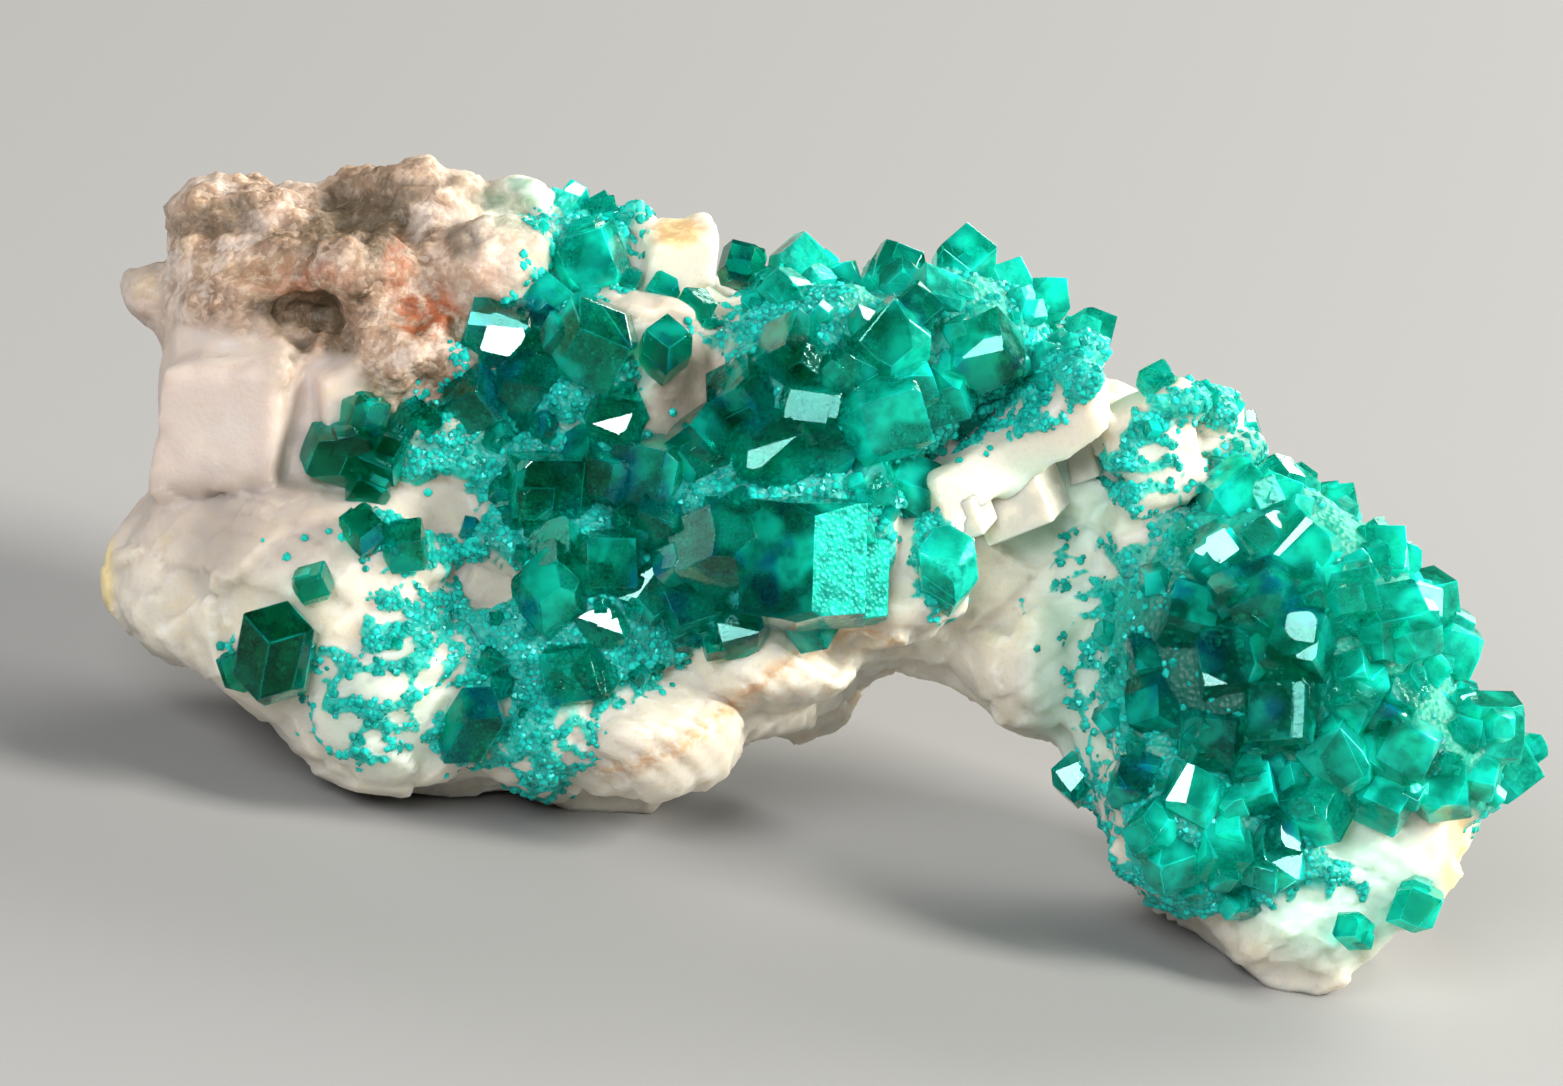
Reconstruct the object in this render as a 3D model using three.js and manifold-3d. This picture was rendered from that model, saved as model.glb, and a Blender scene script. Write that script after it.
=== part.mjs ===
// A dioptase and calcite specimen: an arch of pale calcite with brown host rock at its upper left,
// and emerald-green dioptase crystals along its top, over its front and on its right foot.
// Millimetres, +Z up, +X along the specimen, -Y towards the face that carries the crystals.
//
// Everything is placed in the frame of the specimen's face: x along it, z up it and y into it.
// The face frame is then tilted until the specimen stands on its feet.

import * as THREE from "three";
import { ConvexGeometry } from "three/addons/geometries/ConvexGeometry.js";
import { mergeVertices } from "three/addons/utils/BufferGeometryUtils.js";
import Module from "manifold-3d";

const { degToRad } = THREE.MathUtils;

const wasm = await Module();
wasm.setup();

// Driving dimensions.
const FACE_LEAN = degToRad(18); // how far the face looks up when the specimen stands
const FACE_ROLL = degToRad(12.4); // how far the right foot is lifted to stand level
const FLOOR_LEVEL = 3.6; // height of the resting plane, measured in the face frame
const SEAT_GAP = 0.3; // clearance between the crystals and the rock under them
const CAP_SLOPE = 1.23; // slope of dioptase's end faces against the long axis
const CLEAVAGE_LEAN = Math.tan(degToRad(15)); // how far calcite's cleavage is off square
const SECTION_SIDES = 12; // faces around the arch
const SECTION_FULLNESS = 0.78; // 1 makes the arch's sections oval, less makes them boxier
const UNEVENNESS = 0.07; // how unevenly the arch and its lumps are rounded
const FINE_LUMP = 6; // width and height together above which a lump has finer faces
const CRUMB = 0.4; // cubic millimetres under which a cut-off scrap is dropped
const SLIVER = 0.02; // width under which a face left by a cut is merged into the next
const FAR = 60; // a distance past any point of the specimen

// The arch's body, from its left end to its right foot: the x and z of each section's top edge and
// bottom edge, then how far it reaches to the front and to the back.
const ARCH_SECTIONS = [
  [-20.7, 23.4, -20.6, 14.2, 0.2, 4.4],
  [-19.9, 26.3, -20.4, 12.4, -1.8, 7.0],
  [-18.6, 27.2, -18.7, 10.2, -2.6, 8.6],
  [-16.3, 26.9, -16.0, 8.4, -3.0, 9.4],
  [-13.8, 27.3, -13.5, 6.9, -3.2, 9.8],
  [-11.6, 27.9, -11.0, 6.7, -3.0, 10.0],
  [-9.1, 27.1, -8.6, 6.6, -2.6, 10.0],
  [-6.6, 26.0, -6.3, 6.2, -2.2, 10.0],
  [-4.1, 25.5, -4.3, 6.6, -2.0, 9.8],
  [-1.4, 23.9, -2.2, 7.8, -1.8, 9.4],
  [1.0, 23.7, -0.2, 8.6, -1.4, 9.0],
  [3.3, 23.5, 1.8, 9.6, -1.0, 8.6],
  [5.5, 23.5, 3.7, 10.8, -0.6, 8.2],
  [7.7, 22.7, 5.2, 10.9, 0.2, 7.8],
  [9.7, 21.7, 6.7, 10.3, 0.8, 7.6],
  [11.3, 20.6, 7.9, 9.3, 1.2, 7.6],
  [13.2, 19.7, 9.1, 8.6, 1.2, 7.6],
  [15.2, 18.4, 9.9, 7.6, 0.4, 7.8],
  [17.5, 16.3, 10.5, 6.6, -0.4, 8.0],
  [19.6, 14.5, 11.3, 5.1, -1.0, 8.2],
  [21.3, 12.3, 12.0, 3.7, -1.4, 8.2],
  [22.4, 10.1, 13.1, 2.6, -1.6, 8.0],
  [23.5, 8.0, 14.4, 1.3, -1.6, 7.6],
  [23.4, 5.8, 16.1, 0.2, -1.4, 7.0],
  [22.0, 3.6, 17.5, -0.3, -0.6, 5.8],
  [20.6, 2.4, 18.7, 0.3, 0.6, 4.4],
];

// Lumps on the arch: x, y, z of the middle, then the half sizes along x, y and z.
const HOST_ROCK_LUMPS = [
  [-21.0, 2.4, 23.6, 1.4, 2.2, 1.3],
  [-18.5, 1.8, 26.0, 2.5, 2.8, 1.8],
  [-11.9, 1.8, 26.6, 2.5, 2.8, 1.7],
  [-8.6, 2.0, 26.8, 1.4, 2.0, 1.1],
  [-14.0, -2.0, 24.4, 2.6, 2.0, 1.8],
  [-9.8, -1.6, 24.4, 2.3, 2.0, 2.1],
  [-12.4, -2.4, 21.5, 2.8, 2.0, 1.8],
  [-17.9, -1.0, 23.1, 1.9, 2.0, 1.5],
];
const LEFT_LUMPS = [
  [-15.4, -2.2, 13.4, 4.8, 3.8, 4.2],
  [-19.3, -0.4, 14.3, 3.3, 3.4, 3.4],
  [-13.0, -1.4, 10.4, 4.3, 4.2, 3.4],
];
const CENTRE_LUMPS = [
  [-7.6, -0.6, 13.4, 4.3, 3.6, 4.2],
  [-1.0, -0.8, 15.8, 4.8, 3.0, 3.8],
  [-8.4, -0.6, 9.2, 2.9, 4.0, 2.4],
  [-4.8, 0.0, 8.9, 3.8, 4.2, 2.4],
  [-0.4, 0.2, 11.2, 3.6, 3.6, 1.9],
  [3.4, -0.8, 13.1, 2.6, 2.4, 1.6],
  [-5.0, -1.0, 20.7, 3.3, 2.4, 3.0],
  [1.6, -0.8, 20.4, 3.8, 2.4, 2.9],
  [-5.3, 8.4, 9.4, 3.5, 2.8, 3.1],
  [0.4, 7.0, 10.3, 2.6, 2.6, 2.1],
];
const RIGHT_LUMPS = [
  [5.6, 0.6, 22.0, 3.2, 2.8, 2.0],
  [14.4, 3.0, 18.7, 2.0, 2.6, 1.3],
  [8.4, 2.6, 11.4, 2.3, 3.0, 2.9],
  [16.2, 0.4, 11.8, 4.7, 3.2, 4.9],
  [13.6, 0.2, 6.3, 3.0, 3.0, 3.1],
  [20.9, 0.9, 8.2, 3.0, 3.0, 2.3],
  [17.4, 0.6, 2.5, 3.1, 3.2, 2.2],
  [17.4, 6.4, 4.6, 3.6, 2.8, 3.5],
];

// Hollows, as lumps that are cut away.
const PITS = [
  [-14.2, -1.4, 26.3, 1.6, 2.2, 0.9],
  [-15.6, -3.0, 22.7, 1.7, 2.2, 0.9],
  [10.6, 0.0, 17.4, 1.6, 2.0, 0.9],
];

// Blocky calcite crystals: x, y, z of the middle, three edge lengths, then the turns about x, y and z
// in degrees.
const CALCITE_BLOCKS = [
  [-18.1, -1.7, 19.6, 4.3, 3.8, 4.4, 4, 8, -12],
  [-14.6, -2.8, 20.2, 1.4, 1.6, 1.9, 0, -6, 10],
  [-18.7, 2.6, 12.7, 3.6, 4.6, 2.4, 8, 36, 6],
  [-3.4, 0.7, 24.9, 2.4, 2.4, 1.8, 6, 6, 10],
  [8.9, -0.8, 19.2, 4.4, 2.8, 1.8, 14, -24, -8],
  [6.0, -0.9, 17.2, 2.8, 2.4, 1.8, -10, -22, 16],
  [12.2, 0.2, 18.3, 3.1, 2.2, 3.6, -4, -14, 14],
  [12.0, 0.4, 15.9, 2.2, 1.8, 1.7, 6, -30, 10],
  [4.6, -1.3, 14.4, 3.2, 1.8, 3.4, 0, 4, 14],
  [17.6, 5.8, 14.9, 3.2, 3.4, 2.6, 20, 14, 30],
  [3.2, 8.0, 20.4, 3.6, 3.0, 2.8, 14, 30, 24],
  [-7.4, 8.6, 21.6, 4.0, 3.6, 3.4, 24, 10, 38],
  [21.4, 0.6, 4.6, 1.9, 2.4, 1.9, 10, -34, 8],
];

// Dioptase crystals by cluster. Each one is x and z of its middle, its radius, its half length as a
// share of the radius, and, where it doesn't lean out from the rock, the direction of its long axis.
const UP = [0.05, -0.25, 1];
const FRONT_CLUSTERS = {
  dioptase_top_knot: [
    [-6.3, 24.5, 1.4, 1.35, [0.2, -0.8, 0.6]],
    [-7.2, 26.3, 0.85, 1.4, [-0.3, -0.5, 1]],
    [-5.9, 26.0, 0.85, 1.3, UP],
    [-5.0, 25.4, 0.75, 1.3, [0.9, -0.5, 0.6]],
    [-5.3, 23.8, 0.8, 1.3],
  ],
  dioptase_pointed_single: [[-3.8, 21.6, 0.9, 1.35, [0.08, -0.12, 1]]],
  dioptase_small_upper_pair: [
    [-3.9, 23.6, 0.65, 1.3, [-0.2, -0.5, 1]],
    [-2.9, 22.9, 0.75, 1.3],
  ],
  dioptase_left_cluster: [
    [-14.5, 18.2, 1.1, 1.45, [1, -0.45, 0.06]],
    [-13.7, 19.5, 0.75, 1.3, [1, -0.3, 0.3]],
    [-13.1, 18.2, 1.05, 1.3],
    [-12.2, 19.0, 0.75, 1.6, [0.4, -0.4, 1]],
    [-13.6, 16.9, 0.8, 1.3],
  ],
  dioptase_left_low_pair: [
    [-13.6, 15.6, 0.85, 1.3],
    [-12.4, 15.1, 0.95, 1.3, [0.6, -1, 0.2]],
  ],
  dioptase_left_small_single: [[-15.3, 13.9, 0.75, 1.2, [0.3, -1, 0.4]]],
  dioptase_left_large_single: [
    [-16.5, 11.8, 1.5, 1.3, [-0.2, -0.7, 0.9]],
    [-17.6, 11.1, 0.85, 1.3],
  ],
  dioptase_bottom_single: [[-10.0, 9.4, 1.15, 1.5, [0.5, -0.75, 0.55]]],
  dioptase_centre: [
    [-9.3, 22.2, 1.5, 1.25, [-0.5, -0.9, 0.4]],
    [-8.0, 23.0, 1.15, 1.4, [0.1, -0.6, 1]],
    [-6.2, 21.8, 1.5, 1.4, [0.25, -0.6, -1]],
    [-7.7, 21.3, 1.25, 1.3],
    [-10.1, 19.9, 1.25, 1.4],
    [-8.8, 20.1, 1.1, 1.3],
    [-9.3, 18.9, 0.8, 1.3],
    [-7.7, 16.8, 1.75, 1.25],
    [-6.4, 18.1, 1.2, 1.3],
    [-7.3, 15.2, 1.1, 1.3],
    [-7.5, 13.5, 1.2, 1.5, [-0.1, -0.4, 1]],
    [-6.8, 11.0, 1.3, 1.35, [-0.5, -0.7, -0.7]],
    [-5.9, 12.5, 0.95, 1.3],
    [-5.9, 14.6, 1.3, 1.3],
    [-4.5, 13.6, 1.1, 1.3],
    [0.0, 15.2, 2.4, 1.25, [0.2, -0.5, 1]],
    [2.2, 14.6, 1.6, 1.35, [0.85, -0.8, 0.1]],
    [-1.9, 15.3, 1.7, 1.3],
    [-2.9, 13.5, 1.35, 1.3],
    [-1.3, 12.5, 1.1, 1.3, [-0.5, -1, -0.4]],
    [0.9, 12.7, 1.0, 1.3],
    [-4.2, 17.5, 1.6, 1.2],
    [-3.9, 15.9, 1.2, 1.3],
    [-5.4, 19.4, 1.1, 1.3],
    [-2.5, 18.4, 1.4, 1.3],
    [-0.4, 18.1, 1.5, 1.3, [0.6, -0.8, 0.4]],
    [1.4, 18.2, 1.2, 1.3],
    [-1.1, 20.1, 1.4, 1.2],
    [0.6, 21.6, 1.35, 1.3],
    [0.9, 19.8, 1.15, 1.2],
    [2.2, 20.9, 1.1, 1.3],
    [3.6, 21.8, 1.55, 1.25, [0.1, -0.7, 0.9]],
    [3.3, 19.5, 1.75, 1.25, [0.75, -0.9, 0.5]],
    [5.2, 20.4, 1.35, 1.3],
    [6.8, 21.6, 1.4, 1.3],
    [7.6, 20.5, 1.1, 1.3],
    [9.0, 20.9, 1.0, 1.3],
    [4.2, 17.1, 1.2, 1.4, [0.8, -1, -0.2]],
    [2.9, 17.2, 1.1, 1.3],
  ],
  dioptase_ledge_single: [[5.5, 14.4, 1.15, 1.5, [-0.1, -0.3, 1]]],
  dioptase_ridge_left: [
    [-1.3, 24.5, 0.8, 1.3, [-0.3, -0.5, 1]],
    [-0.3, 23.7, 0.9, 1.3],
    [0.7, 24.4, 1.15, 1.3, [0.2, -0.5, 1]],
    [1.9, 23.9, 0.85, 1.3, [0.6, -0.4, 0.8]],
  ],
  dioptase_ridge_right: [
    [3.9, 24.1, 1.1, 1.35, [-0.2, -0.5, 1]],
    [5.2, 23.4, 1.15, 1.2],
    [6.2, 24.5, 1.15, 1.3, UP],
    [7.5, 23.7, 1.0, 1.3, [0.5, -0.4, 1]],
    [8.8, 23.2, 0.95, 1.3, [0.8, -0.4, 0.9]],
    [10.3, 22.2, 0.95, 1.3, [1, -0.5, 0.6]],
  ],
  dioptase_far_ridge: [
    [12.6, 20.5, 0.75, 1.3, [0.1, -0.4, 1]],
    [13.9, 19.9, 0.8, 1.3, [0.5, -0.4, 1]],
  ],
  dioptase_right_foot: [
    [15.1, 16.7, 1.4, 1.25, [-0.1, -0.6, 1]],
    [17.2, 16.7, 1.0, 1.3, [0.1, -0.4, 1]],
    [18.8, 16.3, 0.9, 1.3, [0.5, -0.4, 1]],
    [17.3, 15.0, 1.4, 1.2],
    [14.4, 14.8, 1.15, 1.3],
    [19.9, 14.7, 1.2, 1.3, [0.6, -0.5, 0.8]],
    [21.3, 13.1, 1.3, 1.4, [0.9, -0.5, 0.6]],
    [22.1, 11.7, 1.2, 1.4, [1, -0.4, 0.1]],
    [20.1, 12.5, 1.45, 1.35, [0.9, -0.8, 0.3]],
    [18.7, 13.6, 1.3, 1.3, [0.5, -0.8, 0.6]],
    [16.0, 13.4, 1.45, 1.25],
    [13.7, 12.8, 1.3, 1.2],
    [12.3, 11.6, 1.0, 1.3],
    [17.2, 11.9, 1.45, 1.2],
    [14.9, 11.3, 1.45, 1.2],
    [12.8, 9.9, 1.3, 1.25],
    [16.5, 9.8, 1.5, 1.25],
    [14.5, 8.8, 1.4, 1.2],
    [18.9, 10.3, 1.3, 1.3],
    [11.8, 7.2, 1.05, 1.3],
    [13.6, 6.9, 1.15, 1.25],
    [15.5, 7.0, 1.2, 1.3],
    [12.9, 4.9, 1.15, 1.3],
    [14.6, 5.0, 1.2, 1.3],
    [16.4, 4.9, 1.35, 1.3],
    [15.3, 3.5, 0.9, 1.3],
    [18.6, 8.2, 1.45, 1.25],
    [20.6, 8.4, 1.35, 1.3, [0.9, -0.9, 0.1]],
    [23.3, 9.0, 1.5, 1.3, [1, -0.7, 0.5]],
    [24.1, 7.7, 1.35, 1.2, [1, -0.4, -0.2]],
    [21.9, 7.1, 1.2, 1.3],
    [20.0, 6.8, 1.15, 1.3],
    [17.7, 6.5, 1.2, 1.3],
  ],
  dioptase_right_low_single: [[21.1, 3.2, 0.95, 1.3, [0.9, -0.8, 0.2]]],
  dioptase_right_bottom_single: [[19.0, 2.4, 0.7, 1.2, [0, -1, -0.2]]],
  dioptase_arch_edge_single: [[9.9, 7.3, 0.75, 1.4, [-0.1, -0.3, 1]]],
};
const BACK_CLUSTERS = {
  dioptase_back_ridge: [
    [5.2, 21.6, 1.2, 1.3],
    [3.4, 22.0, 1.0, 1.3],
    [6.6, 20.4, 0.9, 1.3],
    [7.9, 21.2, 0.9, 1.3],
    [4.4, 19.9, 1.0, 1.3],
  ],
  dioptase_back_left: [
    [-11.4, 22.6, 1.2, 1.3],
    [-12.7, 21.4, 0.95, 1.3],
    [-10.6, 20.8, 1.0, 1.3],
    [-12.0, 24.2, 0.8, 1.3],
  ],
  dioptase_back_foot: [
    [19.6, 10.6, 1.3, 1.3],
    [18.2, 12.2, 1.2, 1.3],
    [20.4, 8.4, 1.1, 1.3],
    [16.6, 11.2, 1.0, 1.3],
    [18.4, 9.0, 1.2, 1.3],
  ],
};

const STAND_OUT = 0.35; // share of a crystal's radius by which its middle stands out from the rock
const EDGE_DEPTH = 2.6; // depth of a crystal that stands past the rock's edge
const SCATTER = 1.5; // how widely crystals lean away from the rock's own direction

// Each lump, pit and crystal has a number of its own, counted on from these.
const LUMP_SEED = 40;
const PIT_SEED = 80;
const CLUSTER_SEED = 100;

// A repeatable number from 0 to 1 for each pair of whole numbers.
function chance(a, b) {
  const wave = Math.sin(a * 127.1 + b * 311.7) * 43758.5453;
  return wave - Math.floor(wave);
}

const uneven = (a, b) => 1 + UNEVENNESS * (2 * chance(a, b) - 1);

// A closed three.js geometry as a solid that can be joined and cut.
function solid(geometry) {
  const bare = geometry.clone();
  bare.deleteAttribute("normal");
  bare.deleteAttribute("uv");
  const closed = mergeVertices(bare, 1e-4);
  return new wasm.Manifold(
    new wasm.Mesh({
      numProp: 3,
      vertProperties: new Float32Array(closed.attributes.position.array),
      triVerts: new Uint32Array(closed.index.array),
    }),
  );
}

// A solid as a three.js geometry.
function geometryOf(shape) {
  const { numProp, numVert, vertProperties, triVerts } = shape.getMesh();
  const places = new Float32Array(numVert * 3);
  for (let i = 0; i < numVert; i++) {
    places.set(vertProperties.subarray(i * numProp, i * numProp + 3), i * 3);
  }
  return new THREE.BufferGeometry()
    .setAttribute("position", new THREE.BufferAttribute(places, 3))
    .setIndex(new THREE.BufferAttribute(new Uint32Array(triVerts), 1));
}

// A solid without the sliver faces that joining or cutting leaves.
const tidied = (shape) => shape.asOriginal().simplify(SLIVER);

const joined = (solids) => tidied(solids.reduce((sum, next) => sum.add(next)));

// The connected bodies of a solid, largest first, without the scraps that a cut leaves.
function bodies(shape) {
  return shape
    .decompose()
    .filter((body) => body.volume() > CRUMB)
    .sort((a, b) => b.volume() - a.volume());
}

// The arch, lofted through its sections. Growth moves its surface outwards by that much.
function arch(growth) {
  const [first, last] = [0, ARCH_SECTIONS.length - 1];
  const centres = ARCH_SECTIONS.map(
    ([topX, topZ, lowX, lowZ, front, back]) =>
      new THREE.Vector3((topX + lowX) / 2, (front + back) / 2, (topZ + lowZ) / 2),
  );
  for (const [end, inner] of [[first, first + 1], [last, last - 1]]) {
    centres[end].add(centres[end].clone().sub(centres[inner]).setLength(growth));
  }
  const points = [];
  ARCH_SECTIONS.forEach(([topX, topZ, lowX, lowZ, front, back], station) => {
    const upwards = new THREE.Vector3(topX - lowX, 0, topZ - lowZ);
    const halfHeight = upwards.length() / 2 + growth;
    const halfDepth = (back - front) / 2 + growth;
    upwards.normalize();
    for (let side = 0; side < SECTION_SIDES; side++) {
      const turn = (2 * Math.PI * side) / SECTION_SIDES;
      const [up, inwards] = [Math.cos(turn), Math.sin(turn)].map(
        (share) => Math.sign(share) * Math.abs(share) ** SECTION_FULLNESS,
      );
      const swell = uneven(station, side);
      points.push(
        centres[station]
          .clone()
          .addScaledVector(upwards, up * halfHeight * swell)
          .add(new THREE.Vector3(0, inwards * halfDepth * swell, 0)),
      );
    }
  });
  const corners = [];
  for (let station = first; station < last; station++) {
    for (let side = 0; side < SECTION_SIDES; side++) {
      const here = station * SECTION_SIDES + side;
      const beside = station * SECTION_SIDES + ((side + 1) % SECTION_SIDES);
      corners.push(beside, here, here + SECTION_SIDES);
      corners.push(beside, here + SECTION_SIDES, beside + SECTION_SIDES);
    }
  }
  for (let side = 0; side < SECTION_SIDES; side++) {
    const next = (side + 1) % SECTION_SIDES;
    corners.push(side, next, points.length);
    corners.push(last * SECTION_SIDES + next, last * SECTION_SIDES + side, points.length + 1);
  }
  points.push(centres[first], centres[last]);
  return solid(new THREE.BufferGeometry().setFromPoints(points).setIndex(corners));
}

// An unevenly rounded lump. Large lumps have more faces than small ones.
function lump([x, y, z, halfX, halfY, halfZ], seed, growth = 0) {
  const ball = new THREE.IcosahedronGeometry(1, halfX + halfZ > FINE_LUMP ? 1 : 0);
  ball.deleteAttribute("normal");
  ball.deleteAttribute("uv");
  const round = mergeVertices(ball);
  const place = round.attributes.position;
  const point = new THREE.Vector3();
  for (let i = 0; i < place.count; i++) {
    point.fromBufferAttribute(place, i).multiplyScalar(uneven(seed, i));
    place.setXYZ(i, point.x, point.y, point.z);
  }
  round.rotateY(2 * Math.PI * chance(seed, -1));
  round.scale(halfX + growth, halfY + growth, halfZ + growth);
  round.translate(x, y, z);
  return solid(round);
}

// A cleavage block of calcite: a box leant over along two of its edges.
function calciteBlock([x, y, z, width, depth, height, ...turns], growth) {
  const block = new THREE.BoxGeometry(width + 2 * growth, depth + 2 * growth, height + 2 * growth);
  block.applyMatrix4(new THREE.Matrix4().makeShear(0, CLEAVAGE_LEAN, 0, CLEAVAGE_LEAN, 0, 0));
  const turn = new THREE.Euler(...turns.map(degToRad));
  block.applyMatrix4(new THREE.Matrix4().makeRotationFromEuler(turn));
  block.translate(x, y, z);
  return solid(block);
}

// The rock without its pits, grown outwards by a clearance where it trims the crystals.
function wholeRock(growth = 0) {
  const lumps = [HOST_ROCK_LUMPS, LEFT_LUMPS, CENTRE_LUMPS, RIGHT_LUMPS].flat();
  return joined([
    arch(growth),
    ...lumps.map((size, i) => lump(size, LUMP_SEED + i, growth)),
    ...CALCITE_BLOCKS.map((size) => calciteBlock(size, growth)),
  ]);
}

// A dioptase crystal along +Z: a six-sided prism, closed at each end by three sloping faces that
// meet in a point.
function dioptaseCrystal(radius, halfLength) {
  const corners = [new THREE.Vector3(0, 0, halfLength), new THREE.Vector3(0, 0, -halfLength)];
  for (let i = 0; i < 6; i++) {
    const turn = (i * Math.PI) / 3;
    const drop = radius * CAP_SLOPE * (i % 2 ? 0.5 : 1);
    const rise = radius * CAP_SLOPE * (i % 2 ? 1 : 0.5);
    const [x, y] = [radius * Math.cos(turn), radius * Math.sin(turn)];
    corners.push(new THREE.Vector3(x, y, halfLength - drop));
    corners.push(new THREE.Vector3(x, y, rise - halfLength));
  }
  return new ConvexGeometry(corners);
}

// Where a line of sight first meets the rock, from the front (side -1) or the back (side 1), and
// which way the rock faces there.
function rockSurface(rock, x, z, side) {
  const inwards = new THREE.Vector3(0, -side, 0);
  const [hit] = new THREE.Raycaster(new THREE.Vector3(x, side * FAR, z), inwards).intersectObject(rock);
  if (!hit) return { depth: EDGE_DEPTH, outwards: new THREE.Vector3(0, 0.6 * side, 0.8) };
  return { depth: hit.point.y, outwards: hit.face.normal.clone() };
}

// The matrix that seats one crystal on the rock.
function seat(rock, [x, z, radius, , axis], side, seed) {
  const { depth, outwards } = rockSurface(rock, x, z, side);
  const scatter = new THREE.Vector3(chance(seed, 1), chance(seed, 2), chance(seed, 3));
  const along = axis
    ? new THREE.Vector3(...axis)
    : outwards.add(scatter.subScalar(0.5).multiplyScalar(SCATTER));
  const turn = new THREE.Quaternion().setFromUnitVectors(
    new THREE.Vector3(0, 0, 1),
    along.normalize(),
  );
  const spin = new THREE.Quaternion().setFromAxisAngle(
    new THREE.Vector3(0, 0, 1),
    (Math.PI / 3) * chance(seed, 4),
  );
  const middle = new THREE.Vector3(x, depth + side * STAND_OUT * radius, z);
  return new THREE.Matrix4().compose(middle, turn.multiply(spin), new THREE.Vector3(1, 1, 1));
}

// The crystals of one cluster, grown into each other.
function cluster(rock, crystals, side, seed) {
  return joined(
    crystals.map((crystal, i) => {
      const [, , radius, stretch] = crystal;
      const body = dioptaseCrystal(radius, radius * stretch);
      return solid(body.applyMatrix4(seat(rock, crystal, side, seed * CLUSTER_SEED + i)));
    }),
  );
}

// The turn that stands the face frame on the specimen's feet.
const stance = new THREE.Euler(-FACE_LEAN, -FACE_ROLL, 0);

// Everything below the plane that the feet rest on, in the face frame.
function belowFloor() {
  const slab = new THREE.BoxGeometry(2 * FAR, 2 * FAR, FAR);
  slab.translate(0, 0, FLOOR_LEVEL - FAR / 2);
  slab.applyMatrix4(new THREE.Matrix4().makeRotationFromEuler(stance).invert());
  return solid(slab);
}

const calciteFinish = new THREE.MeshStandardMaterial({ color: 0xe6dccd, roughness: 0.55 });
const dioptaseFinish = new THREE.MeshStandardMaterial({ color: 0x0b8f72, roughness: 0.12 });

function node(name, shape, finish) {
  const mesh = new THREE.Mesh(geometryOf(shape), finish);
  mesh.name = name;
  return mesh;
}

const specimen = new THREE.Group();
const pits = joined(PITS.map((pit, i) => lump(pit, PIT_SEED + i)));
const [rockShape] = bodies(tidied(wholeRock().subtract(pits)).subtract(belowFloor()));
const rock = node("calcite_matrix", rockShape, calciteFinish);
specimen.add(rock);

const trimmer = wholeRock(SEAT_GAP).add(belowFloor());
for (const [side, clusters] of [[-1, FRONT_CLUSTERS], [1, BACK_CLUSTERS]]) {
  Object.entries(clusters).forEach(([name, crystals], seed) => {
    const parts = bodies(tidied(cluster(rock, crystals, side, seed).subtract(trimmer)));
    parts.forEach((shape, i) => {
      specimen.add(node(i ? `${name}_${i + 1}` : name, shape, dioptaseFinish));
    });
  });
}
specimen.rotation.copy(stance);

// The origin is under the middle of the specimen, on the surface that it rests on.
const part = new THREE.Group();
part.add(specimen);
const reach = new THREE.Box3().setFromObject(part, true);
const middle = reach.getCenter(new THREE.Vector3());
specimen.position.set(-middle.x, -middle.y, -reach.min.z);

export default part;
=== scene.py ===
"""A dioptase and calcite specimen: an arch of pale calcite with brown host rock at its upper left,
emerald-green dioptase crystals, and the turquoise crust of fine grains between them.

Rows of places are in the frame of the specimen's face, in millimetres: x along it, z up it and y
into it. The face frame is turned and moved to stand the specimen on its feet, as the frame has it.
"""

import math
import re

import bmesh
import bpy
import numpy as np
from bpy.props import FloatProperty, FloatVectorProperty, IntProperty, PointerProperty
from mathutils import Euler, Matrix, Quaternion, Vector, noise
from mathutils.bvhtree import BVHTree


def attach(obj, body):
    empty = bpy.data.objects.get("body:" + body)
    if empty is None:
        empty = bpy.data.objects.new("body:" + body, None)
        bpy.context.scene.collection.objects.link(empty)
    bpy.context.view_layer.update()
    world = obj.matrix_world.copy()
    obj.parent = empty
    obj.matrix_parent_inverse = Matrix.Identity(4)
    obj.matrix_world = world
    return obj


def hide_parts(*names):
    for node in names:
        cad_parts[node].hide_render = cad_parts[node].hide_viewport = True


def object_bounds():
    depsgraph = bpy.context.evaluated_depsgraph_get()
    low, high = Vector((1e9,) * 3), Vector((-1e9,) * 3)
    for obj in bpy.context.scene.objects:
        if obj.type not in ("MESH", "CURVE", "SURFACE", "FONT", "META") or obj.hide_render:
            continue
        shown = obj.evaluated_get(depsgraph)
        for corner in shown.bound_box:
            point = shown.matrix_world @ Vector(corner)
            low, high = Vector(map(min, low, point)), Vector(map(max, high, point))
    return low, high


bl_info = {
    "name": "Dioptase and calcite specimen",
    "version": (1, 0, 0),
    "blender": (4, 5, 0),
    "location": "3D View > Sidebar > Specimen",
    "description": "Dresses the packed solids of a dioptase and calcite specimen",
    "category": "Object",
}

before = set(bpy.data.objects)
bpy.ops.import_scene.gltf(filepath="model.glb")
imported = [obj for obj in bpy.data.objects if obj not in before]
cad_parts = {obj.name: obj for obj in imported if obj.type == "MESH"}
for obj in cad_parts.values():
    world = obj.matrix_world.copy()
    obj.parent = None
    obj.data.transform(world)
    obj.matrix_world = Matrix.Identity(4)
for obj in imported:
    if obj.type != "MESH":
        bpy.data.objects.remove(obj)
CAD_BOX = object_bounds()

MM = 0.001

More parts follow.
